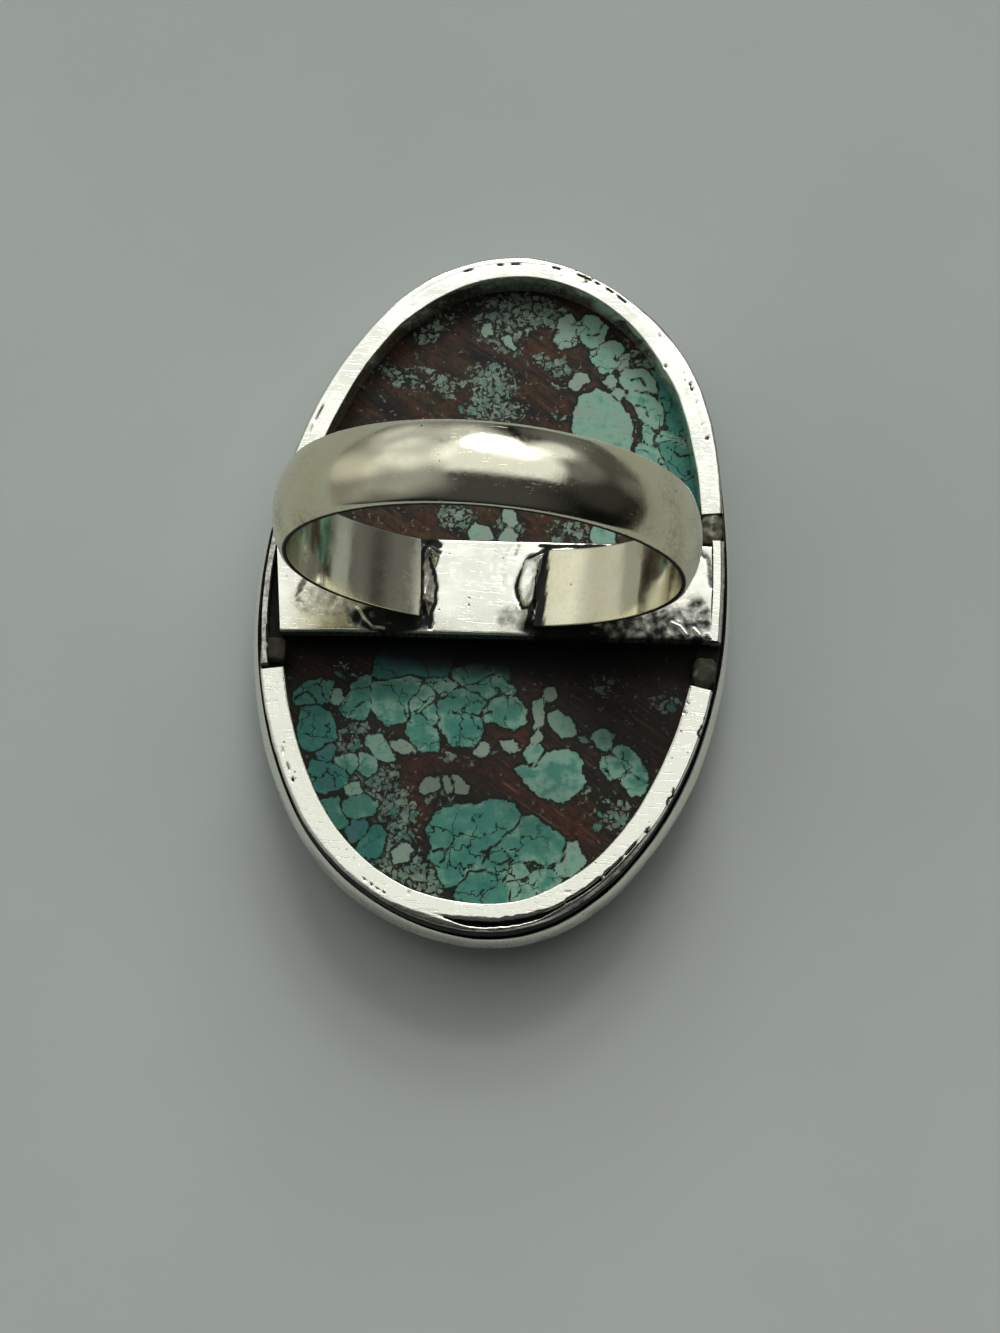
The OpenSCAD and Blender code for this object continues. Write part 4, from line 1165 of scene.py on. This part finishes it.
class Board:
    """A node tree with short calls for the nodes that the finishes use."""

    def __init__(self, tree):
        """A board over one tree."""
        self.tree = tree

    def node(self, kind, values=None, **settings):
        """A new node with its settings, its input values and its links."""
        made = self.tree.nodes.new(kind)
        for name, value in settings.items():
            setattr(made, name, value)
        for socket, value in (values or {}).items():
            self.put(made.inputs[socket], value)
        return made

    def put(self, socket, value):
        """Links a socket to another node's output, or sets its value."""
        if isinstance(value, bpy.types.NodeSocket):
            self.tree.links.new(value, socket)
        else:
            socket.default_value = value

    def math(self, operation, *values, clamp=False):
        """Result of one operation on values."""
        made = self.node("ShaderNodeMath", operation=operation, use_clamp=clamp)
        for socket, value in zip(made.inputs, values):
            self.put(socket, value)
        return made.outputs[0]

    def times(self, first, second):
        """Product of two values."""
        return self.math("MULTIPLY", first, second)

    def plus(self, first, second, clamp=False):
        """Sum of two values."""
        return self.math("ADD", first, second, clamp=clamp)

    def less(self, first, second, clamp=False):
        """First value less the second."""
        return self.math("SUBTRACT", first, second, clamp=clamp)

    def times_plus(self, value, scale, shift):
        """Value times scale, plus shift."""
        return self.math("MULTIPLY_ADD", value, scale, shift)

    def shifted(self, vector, shift):
        """A place moved by another."""
        made = self.node("ShaderNodeVectorMath", operation="ADD")
        self.put(made.inputs[0], vector)
        self.put(made.inputs[1], shift)
        return made.outputs["Vector"]

    def scaled(self, vector, scale):
        """A place times one value."""
        made = self.node("ShaderNodeVectorMath", {"Vector": vector, "Scale": scale}, operation="SCALE")
        return made.outputs["Vector"]

    def step(self, value, low, high, to_low=0.0, to_high=1.0):
        """Smooth step from to_low at low to to_high at high."""
        values = {"Value": value, "From Min": low, "From Max": high, "To Min": to_low, "To Max": to_high}
        return self.node("ShaderNodeMapRange", values, interpolation_type="SMOOTHSTEP").outputs[0]

    def separate(self, vector):
        """The three parts of a place."""
        return self.node("ShaderNodeSeparateXYZ", {"Vector": vector}).outputs

    def picks(self, colour):
        """Three random values of a cell, read from its colour."""
        return self.node("ShaderNodeSeparateColor", {"Color": colour}).outputs

    def blend(self, share, first, second):
        """First colour, or the second where share is 1."""
        made = self.node("ShaderNodeMix", data_type="RGBA")
        self.put(made.inputs[0], share)
        self.put(made.inputs[6], first)
        self.put(made.inputs[7], second)
        return made.outputs[2]

    def noise(self, vector, scale, detail=3.0, roughness=0.55, output=0):
        """Smooth noise, as one value, or as a place with output 1."""
        values = {"Vector": vector, "Scale": scale, "Detail": detail, "Roughness": roughness}
        return self.node("ShaderNodeTexNoise", values).outputs[output]

    def astray(self, vector, scale, detail, amount):
        """A place moved either way by noise."""
        drift = self.shifted(self.noise(vector, scale, detail, output=1), (-0.5, -0.5, -0.5))
        return self.shifted(vector, self.scaled(drift, amount))

    def cells(self, vector, scale, feature="F1", flat=True):
        """Random cells: distance and colour of each, or the distance to its edge."""
        values = {"Vector": vector, "Scale": scale, "Randomness": 1.0}
        dimensions = "2D" if flat else "3D"
        made = self.node("ShaderNodeTexVoronoi", values, feature=feature, voronoi_dimensions=dimensions)
        return made.outputs

    def painted(self, mark):
        """A mask painted on the piece."""
        return self.node("ShaderNodeAttribute", attribute_name=mark).outputs["Fac"]

    def group(self, group, values):
        """Mask of an effect that the finishes share, with this finish's values."""
        return self.node("ShaderNodeGroup", values, node_tree=group).outputs["Mask"]

    def bump(self, strength, height):
        """Normal of a surface with very low relief."""
        values = {"Strength": strength, "Distance": BUMP_DISTANCE, "Height": height}
        return self.node("ShaderNodeBump", values).outputs[0]


def new_group(name, inputs):
    """An empty node group with a place, a mask and the inputs, each a name with its first value."""
    tree = bpy.data.node_groups.new(name, "ShaderNodeTree")
    tree.interface.new_socket("Place", in_out="INPUT", socket_type="NodeSocketVector")
    for socket, value in inputs.items():
        kind = "NodeSocketVector" if isinstance(value, tuple) else "NodeSocketFloat"
        tree.interface.new_socket(socket, in_out="INPUT", socket_type=kind).default_value = value
    tree.interface.new_socket("Mask", in_out="OUTPUT", socket_type="NodeSocketFloat")
    board = Board(tree)
    entry = board.node("NodeGroupInput")
    leave = board.node("NodeGroupOutput")
    return tree, board, entry.outputs, leave.inputs["Mask"]


# Effects shared by the finishes


def make_scratches():
    """Fine straight scratches that run roughly one way. Place is in millimetres."""
    inputs = {"Turn": (0.0, 0.0, 0.0), "Fineness": 1.0, "Amount": 0.5}
    tree, board, entry, mask = new_group("fine_scratches", inputs)
    stretched = {"Vector": entry["Place"], "Rotation": entry["Turn"], "Scale": (0.55, 9.0, 9.0)}
    mapped = board.node("ShaderNodeMapping", stretched).outputs[0]
    drift = board.noise(entry["Place"], 0.5, 2.0, output=1)
    bent = board.shifted(mapped, board.scaled(drift, 1.6))
    lines = board.noise(bent, entry["Fineness"], 2.0, 0.6)
    cut = board.less(0.70, board.times(entry["Amount"], 0.16))
    board.put(mask, board.step(lines, cut, board.plus(cut, 0.05)))
    return tree


def make_pits():
    """Small round pits. Share is how many of the cells hold one."""
    tree, board, entry, mask = new_group("pits", {"Per mm": 2.0, "Share": 0.3})
    cells = board.cells(entry["Place"], entry["Per mm"], flat=False)
    pick = board.picks(cells["Color"])
    size = board.step(pick[0], 0.0, 1.0, 0.06, 0.26)
    inside = board.less(1.0, board.step(cells["Distance"], board.times(size, 0.4), size))
    board.put(mask, board.times(inside, board.math("LESS_THAN", pick[1], entry["Share"])))
    return tree


def make_mottle():
    """Soft clouds in two sizes, from 0 to 1."""
    tree, board, entry, mask = new_group("soft_mottle", {"Per mm": 0.5, "Fine": 0.35})
    wide = board.noise(entry["Place"], entry["Per mm"], 2.0, 0.5)
    fine = board.noise(entry["Place"], board.times(entry["Per mm"], 7.0), 4.0, 0.6)
    mixed = board.plus(wide, board.times(board.less(fine, 0.5), entry["Fine"]))
    board.put(mask, board.step(mixed, 0.3, 0.7))
    return tree


def make_oxide_and_shade():
    """Breaks a painted mask of oxide and painted shade up into ragged black."""
    tree, board, entry, mask = new_group("ragged_oxide_and_shade", {"Painted": 0.0, "Raggedness": 0.5})
    fine = board.noise(entry["Place"], 4.5, 4.0, 0.65)
    shift = board.times(board.less(fine, 0.5), entry["Raggedness"])
    mixed = board.plus(entry["Painted"], board.times(shift, 1.6))
    board.put(mask, board.times(board.step(mixed, 0.12, 0.80), board.step(entry["Painted"], 0.03, 0.15)))
    return tree


SCRATCHES = make_scratches()
PITS = make_pits()
MOTTLE = make_mottle()
OXIDE_AND_SHADE = make_oxide_and_shade()


# Silver finishes

CLEAN_SILVER = (0.91, 0.905, 0.815, 1.0)
SATIN_SILVER = (0.86, 0.84, 0.70, 1.0)
YELLOW_SILVER = (0.80, 0.745, 0.53, 1.0)
BLACK_OXIDE = (0.008, 0.008, 0.008, 1.0)
GREY_OXIDE = (0.040, 0.040, 0.036, 1.0)
OLIVE_GRIME = (0.115, 0.112, 0.082, 1.0)
SILVER_SPECULAR = 0.12

# Finishes of silver: metal, grime, roughness where polished and where dull, share of scratches and their
# turn, share of pits, yellow tarnish, raggedness of the oxide
SILVER_FINISHES = {
    "ring_silver": (CLEAN_SILVER, GREY_OXIDE, 0.14, 0.26, 0.60, 0.5, 0.22, 0.12, 0.45),
    "strip_silver": (CLEAN_SILVER, GREY_OXIDE, 0.20, 0.36, 0.50, 0.1, 0.10, 0.12, 0.40),
    "band_silver": (SATIN_SILVER, GREY_OXIDE, 0.09, 0.19, 0.12, 0.2, 0.03, 0.30, 0.40),
    "bar_silver": (CLEAN_SILVER, GREY_OXIDE, 0.15, 0.30, 0.42, 1.2, 0.20, 0.12, 0.38),
    "solder_silver": (SATIN_SILVER, OLIVE_GRIME, 0.30, 0.50, 0.20, 0.3, 0.25, 0.40, 0.30),
}


def start_material(name):
    """A material with its shader, its board and its place in millimetres."""
    material = bpy.data.materials.new(name)
    material.use_nodes = True
    board = Board(material.node_tree)
    shader = material.node_tree.nodes["Principled BSDF"]
    place = board.scaled(board.node("ShaderNodeTexCoord").outputs["Object"], 1.0 / MM)
    return material, board, shader, place


def scratched(board, place, turn, amount):
    """Scratches of one finish: coarse ones one way, and fewer and finer ones across them."""
    coarse = {"Place": place, "Turn": (0, 0, turn), "Fineness": 1.0, "Amount": amount}
    finer = {"Place": place, "Turn": (0, 0.2, turn + 1.9), "Fineness": 1.6, "Amount": 0.7 * amount}
    return board.math("MAXIMUM", board.group(SCRATCHES, coarse), board.group(SCRATCHES, finer))


def silver(name):
    """Worn sterling silver: scratches, pits, yellow tarnish, and black oxide and painted shade where they are
    painted.
    """
    metal, grime, polished, dull, scratches, turn, pits, yellow, ragged = SILVER_FINISHES[name]
    material, board, shader, place = start_material(name)
    shader.inputs["Specular IOR Level"].default_value = SILVER_SPECULAR
    lines = scratched(board, place, turn, scratches)
    pit = board.group(PITS, {"Place": place, "Per mm": 2.6, "Share": pits})
    cloud = board.group(MOTTLE, {"Place": place, "Per mm": 0.42, "Fine": 0.5})
    # The painted mask holds soot and oxide, and painted shade in slots, pockets and under things
    oxide_and_shade = board.group(OXIDE_AND_SHADE, {"Place": place, "Painted": board.painted("soot"), "Raggedness": ragged})

    warm = board.plus(board.times(cloud, yellow), board.painted("tarnish"), clamp=True)
    colour = board.blend(warm, metal, YELLOW_SILVER)
    colour = board.blend(board.times(pit, 0.75), colour, GREY_OXIDE)
    colour = board.blend(board.times(lines, 0.10), colour, GREY_OXIDE)
    black = board.blend(board.noise(place, 1.3), BLACK_OXIDE, grime)
    board.put(shader.inputs["Base Color"], board.blend(oxide_and_shade, colour, black))

    worn = board.plus(board.step(cloud, 0.0, 1.0, polished, dull), board.times(lines, 0.10))
    board.put(shader.inputs["Roughness"], board.plus(worn, board.times(oxide_and_shade, 0.40), clamp=True))
    board.put(shader.inputs["Metallic"], board.less(1.0, board.times(oxide_and_shade, 0.75)))
    height = board.less(board.times(board.noise(place, 6.0), 0.25), board.times(lines, 0.30))
    height = board.less(height, board.times(pit, 0.8))
    board.put(shader.inputs["Normal"], board.bump(0.35, height))
    return material


# Turquoise

PALE = tone(156, 175, 158)
MINT = tone(144, 188, 167)
SEA_GREEN = tone(80, 148, 130)
DEEP_TEAL = tone(52, 130, 120)
BLUE_GREY = tone(84, 122, 130)
GREY_GREEN = tone(112, 150, 134)
DUSTY_GREEN = tone(118, 128, 108)
BROWN = tone(76, 55, 34)
RED_BROWN = tone(92, 47, 33)
OLIVE = tone(70, 65, 42)
NEAR_BLACK = tone(22, 18, 14)
VEIN = tone(12, 26, 22)
STREAK = tone(148, 118, 94)
# Colour of the painted shade, which also darkens the rock in places
SHADE_AND_DARK_ROCK = tone(9, 12, 9)


# How the rock's streaks slant, in degrees
SLANT = -28
STREAK_SLANT = -32
FINE_SLANT = -33
STONE_IOR = 1.5
STONE_SPECULAR = 0.20


def crumb_cells(board, place, per_mm, gap, share):
    """Small broken cells: mask of those that are crumbs, and a random value for each."""
    cells = board.cells(place, per_mm)
    edge = board.cells(place, per_mm, "DISTANCE_TO_EDGE")["Distance"]
    pick = board.picks(cells["Color"])
    kept = board.math("LESS_THAN", pick[0], share)
    width = board.times_plus(pick[1], gap, 0.4 * gap)
    body = board.step(edge, width, board.plus(width, 0.06))
    return board.times(kept, body), pick[2]


def slanting(board, level, degrees, stretch, per_mm):
    """Noise drawn out into lines that run at an angle."""
    values = {"Vector": level, "Rotation": (0, 0, math.radians(degrees)), "Scale": (stretch, 1.0, 1.0)}
    turned = board.node("ShaderNodeMapping", values, vector_type="TEXTURE").outputs[0]
    return board.noise(turned, per_mm, 3.0, 0.6)


def matrix_colour(board, level, fine):
    """Rock between the nuggets: brown, red and olive clouds, black pockets and slanting pale streaks."""
    cloud = slanting(board, level, SLANT, 2.2, 0.75)
    red = slanting(board, board.shifted(level, (31.0, 7.0, 0.0)), SLANT, 2.0, 0.8)
    olive = board.noise(board.shifted(level, (3.0, 47.0, 0.0)), 0.5)
    bands = slanting(board, level, STREAK_SLANT, 8.0, 3.0)
    streaks = slanting(board, board.shifted(level, (5.0, 9.0, 0.0)), FINE_SLANT, 16.0, 6.0)
    strong = board.times_plus(board.painted("streaked"), 0.55, 0.22)
    layers = (
        (board.step(red, 0.49, 0.64, 0.0, 0.66), RED_BROWN),
        (board.step(olive, 0.52, 0.66, 0.0, 0.60), OLIVE),
        (board.step(fine, 0.36, 0.60, 0.60, 0.0), NEAR_BLACK),
        (board.step(bands, 0.34, 0.50, 0.65, 0.0), NEAR_BLACK),
        # Darker towards the lower end of the back: partly painted shade of the band and bar, partly darker
        # rock
        (board.step(board.separate(level)[1], 2.0, -4.0, 0.0, 0.45), NEAR_BLACK),
        (board.times(board.painted("red"), board.step(fine, 0.34, 0.56)), RED_BROWN),
        (board.times(board.step(streaks, 0.56, 0.72), strong), STREAK),
    )
    matrix = board.blend(board.step(cloud, 0.38, 0.58), NEAR_BLACK, BROWN)
    for share, colour in layers:
        matrix = board.blend(share, matrix, colour)
    return matrix


def nugget_colour(board, level, fine, best, crack):
    """Blue-green of the nuggets, paler at their rims, with fine dark cracks."""
    vary = board.step(board.noise(level, 1.1, 4.0, 0.6), 0.3, 0.7, -0.16, 0.16)
    depth = board.plus(board.painted("nugget_colour"), vary, clamp=True)
    depth = board.less(depth, board.step(best, 0.0, 0.40, 0.09, 0.0), clamp=True)
    colour = PALE
    for start, end, deeper in ((0.0, 0.26, MINT), (0.24, 0.52, SEA_GREEN), (0.50, 0.80, DEEP_TEAL),
                               (0.80, 0.96, BLUE_GREY)):
        colour = board.blend(board.step(depth, start, end), colour, deeper)
    colour = board.blend(board.step(fine, 0.28, 0.46, 0.35, 0.0), colour, VEIN)
    return board.blend(crack, colour, VEIN)


def crack_lines(board, level, width):
    """Fine bent cracks that cross the nuggets where the stone is painted for them."""
    line = board.cells(board.astray(level, 1.6, 3.0, 1.3), 0.85, "DISTANCE_TO_EDGE")["Distance"]
    kept = board.step(board.noise(level, 0.8, 2.0), 0.42, 0.52)
    found = board.step(line, 0.4 * width, width, 1.0, 0.0)
    return board.times(found, board.times(kept, board.painted("cracked")))


def rock_place(board, place):
    """Level place at which the rock's pattern is read, in step with the painted masks."""
    parts = board.separate(place)
    up = board.less(parts[2], STONE_BACK)
    across = board.times_plus(up, ROCK_LEAN[0], parts[0])
    along = board.times_plus(up, ROCK_LEAN[1], parts[1])
    return board.node("ShaderNodeCombineXYZ", {"X": across, "Y": along}).outputs[0]


def crumbled(board, place, level, fine, matrix):
    """The matrix with dust, small crumbs and coarse crumbs lying in it."""
    share = board.painted("crumbs")
    bent = board.astray(level, 3.0, 3.0, 0.50)
    whole = board.step(board.noise(level, 2.4, 4.0, 0.65), 0.40, 0.47)
    coarse, coarse_pick = crumb_cells(board, bent, 1.75, 0.16, share)
    small, small_pick = crumb_cells(board, bent, 3.3, 0.16, board.less(share, 0.08))
    dust, _ = crumb_cells(board, bent, 6.0, 0.20, board.times_plus(share, 0.45, 0.06))
    upper = board.step(board.separate(place)[1], -3.0, 3.0)
    coarse_colour = board.blend(coarse_pick, PALE, board.blend(upper, DEEP_TEAL, GREY_GREEN))
    coarse_colour = board.blend(board.step(fine, 0.35, 0.6, 0.45, 0.0), coarse_colour, VEIN)
    small_colour = board.blend(small_pick, PALE, DUSTY_GREEN)
    layers = (
        (share, 0.80, VEIN),
        (dust, 0.45, small_colour),
        (small, 0.80, small_colour),
        (board.times(coarse, whole), 0.92, coarse_colour),
    )
    for mask, strength, colour in layers:
        matrix = board.blend(board.times(mask, strength), matrix, colour)
    return matrix


def make_turquoise():
    """Turquoise nuggets and crumbs in brown matrix, with dark veins, streaks and a low polish."""
    material, board, shader, place = start_material("turquoise_in_matrix")
    level = rock_place(board, place)
    fine = board.noise(level, 3.0, 4.0, 0.65)
    ragged = board.times(board.less(board.noise(level, 3.2, 5.0, 0.70), 0.5), 0.50)
    best = board.plus(board.times(board.less(board.painted("nugget"), 0.5), 2 * DEPTH_SPAN), ragged)
    beside = board.times_plus(board.painted("vein"), DEPTH_SPAN, board.times(ragged, 0.35))
    nugget = board.times(board.step(best, -0.15, -0.09), board.step(beside, 0.06, 0.18))
    rim = board.times(board.step(best, -0.36, -0.20), board.less(1.0, nugget))
    crack = crack_lines(board, level, 0.050)

    colour = crumbled(board, place, level, fine, matrix_colour(board, level, fine))
    colour = board.blend(board.times(rim, 0.90), colour, VEIN)
    colour = board.blend(nugget, colour, nugget_colour(board, level, fine, best, crack))
    # Painted shade of the bar, band and ring's wall, partly darker rock, laid over the colour
    board.put(shader.inputs["Base Color"], board.blend(board.painted("shade"), colour, SHADE_AND_DARK_ROCK))

    scratch = board.group(SCRATCHES, {"Place": place, "Turn": (0, 0, 0.9), "Fineness": 1.3, "Amount": 0.35})
    pit = board.group(PITS, {"Place": place, "Per mm": 1.8, "Share": 0.12})
    rough = board.plus(board.step(nugget, 0.0, 1.0, 0.52, 0.45), board.times(scratch, 0.12))
    board.put(shader.inputs["Roughness"], rough)
    shader.inputs["IOR"].default_value = STONE_IOR
    shader.inputs["Specular IOR Level"].default_value = STONE_SPECULAR
    height = board.less(board.times(crack, -0.5), board.times(pit, 0.7))
    height = board.less(height, board.times(scratch, 0.2))
    board.put(shader.inputs["Normal"], board.bump(0.25, height))
    return material


# Floor, light and camera


SHEET_DARK = (0.515, 0.545, 0.525, 1.0)
SHEET_PALE = (0.545, 0.575, 0.555, 1.0)
SHEET_ROUGHNESS = 0.75
SHEET_SPECULAR = 0.2
# Half the sheet's side, in metres
SHEET_HALF = 2.0
SHEET_CORNERS = ((-1, -1), (1, -1), (1, 1), (-1, 1))
# How far the sheet lies below the crown of the stone
SHEET_DROP = 0.02


def make_floor():
    """Plain pale sheet just under the ring."""
    material, board, shader, place = start_material("pale_sheet")
    cloud = board.group(MOTTLE, {"Place": place, "Per mm": 0.02, "Fine": 0.3})
    board.put(shader.inputs["Base Color"], board.blend(cloud, SHEET_DARK, SHEET_PALE))
    shader.inputs["Roughness"].default_value = SHEET_ROUGHNESS
    shader.inputs["Specular IOR Level"].default_value = SHEET_SPECULAR
    mesh = bpy.data.meshes.new("floor")
    mesh.from_pydata([(SHEET_HALF * x, SHEET_HALF * y, 0) for x, y in SHEET_CORNERS], [], [(0, 1, 2, 3)])
    mesh.materials.append(material)
    floor = bpy.data.objects.new("floor", mesh)
    floor.location.z = -SHEET_DROP * MM
    bpy.context.scene.collection.objects.link(floor)


# Soft panels of light: azimuth from +Y towards +X, elevation, half width, soft edge, light. Those of the
# bright ceiling end in a line overhead, south of which the room is dark
CEILING = (
    (0, 48, 11, 4, 6.80),
    (24, 53, 9, 5, 0.80),
    (16, 72, 32, 6, 0.88),
    (-56, 44, 16, 8, 0.58),
    (-80, 40, 16, 8, 0.22),
)
# How far north the bright ceiling starts, and how far north it is full
CEILING_END = (-0.09, 0.04)
PANELS = (
    (-12, 34, 11, 7, 0.54),
    (34, 34, 9, 5, 0.80),
    (-40, 22, 12, 8, 0.50),
    (-72, 16, 16, 8, 0.38),
    (-98, 44, 17, 11, 0.22),
    (-112, 52, 14, 10, 0.12),
    (-122, 22, 15, 10, 0.15),
    (-40, 1, 13, 8, 0.20),
    (60, 38, 12, 7, 0.12),
    (-15, 10, 14, 8, 0.20),
    (55, 12, 16, 10, 0.07),
    (25, 14, 10, 7, 0.12),
    (-90, 5, 24, 9, 0.22),
    (72, 6, 8, 5, 0.08),
    (90, 30, 14, 10, 0.03),
    (180, 58, 28, 20, 0.05),
)
AMBIENT = 0.004
BACKGROUND = tone(170, 176, 171)
# Share of the light in each channel
LIGHT_TINT = {"Red": 0.975, "Green": 1.0, "Blue": 0.97}


def direction(azimuth, elevation):
    """Direction as a place on the unit ball."""
    a, e = math.radians(azimuth), math.radians(elevation)
    return (math.sin(a) * math.cos(e), math.cos(a) * math.cos(e), math.sin(e))


def panel_light(board, look, azimuth, elevation, half, soft, light):
    """Light of one soft round panel where the room is looked at."""
    made = board.node("ShaderNodeVectorMath", operation="DOT_PRODUCT")
    board.put(made.inputs[0], look)
    board.put(made.inputs[1], direction(azimuth, elevation))
    low = math.cos(math.radians(half + soft))
    high = math.cos(math.radians(max(half - soft, 0)))
    return board.step(made.outputs["Value"], low, high, 0.0, light)


def make_light():
    """Plain studio light: soft panels all round, given by direction, and a plain pale background behind."""
    world = bpy.data.worlds.new("soft_room")
    bpy.context.scene.world = world
    world.use_nodes = True
    board = Board(world.node_tree)
    room = world.node_tree.nodes["Background"]
    look = board.node("ShaderNodeTexCoord").outputs["Generated"]
    ceiling = 0.0
    for panel in CEILING:
        ceiling = board.plus(ceiling, panel_light(board, look, *panel))
    north = board.step(board.separate(look)[1], *CEILING_END)
    total = board.times_plus(ceiling, north, AMBIENT)
    for panel in PANELS:
        total = board.plus(total, panel_light(board, look, *panel))
    tinted = {channel: board.times(total, share) for channel, share in LIGHT_TINT.items()}
    board.put(room.inputs["Color"], board.node("ShaderNodeCombineColor", tinted).outputs[0])
    behind = board.node("ShaderNodeBackground", {"Color": BACKGROUND})
    seen = board.node("ShaderNodeLightPath").outputs["Is Camera Ray"]
    mixed = board.node("ShaderNodeMixShader", {0: seen, 1: room.outputs[0], 2: behind.outputs[0]})
    board.put(world.node_tree.nodes["World Output"].inputs["Surface"], mixed.outputs[0])


CAMERA_PLACE = Vector((4.67, -51.94, 177.25)) * MM
CAMERA_RIGHT = Vector((0.99650, 0.08358, 0.0)).normalized()
CAMERA_BACK = Vector((0.02243, -0.26741, 0.96332)).normalized()
FOCAL_PIXELS = 3400.0
LONG_SIDE_PIXELS = 1333.0
SENSOR = 36.0
# Nearest and farthest that the camera sees, in metres
NEAREST_SEEN = 0.005
FARTHEST_SEEN = 20.0


def make_camera():
    """The camera at the photograph's viewing angle."""
    data = bpy.data.cameras.new("camera")
    data.sensor_width = SENSOR
    data.lens = SENSOR * FOCAL_PIXELS / LONG_SIDE_PIXELS
    data.clip_start = NEAREST_SEEN
    data.clip_end = FARTHEST_SEEN
    camera = bpy.data.objects.new("camera", data)
    up = CAMERA_BACK.cross(CAMERA_RIGHT).normalized()
    turned = Matrix((CAMERA_RIGHT, up, CAMERA_BACK)).transposed()
    camera.matrix_world = Matrix.Translation(CAMERA_PLACE) @ turned.to_4x4()
    bpy.context.scene.collection.objects.link(camera)
    bpy.context.scene.camera = camera
    bpy.context.scene.view_settings.view_transform = "Standard"


# The ring


def build_ring():
    """Makes every piece of the ring and gives it its finish."""
    dressed = [
        (build_back_ring(), silver("ring_silver")),
        (build_bezel_strip(), silver("strip_silver")),
        (build_band(), silver("band_silver")),
        (build_cross_bar(), silver("bar_silver")),
        (build_stone(), make_turquoise()),
    ]
    solder_silver = silver("solder_silver")
    for lump in POCKET_LUMPS:
        dressed.append((build_pocket_lump(*lump), solder_silver))
    for piece, material in dressed:
        piece.data.materials.append(material)


make_camera()
build_ring()
make_floor()
make_light()
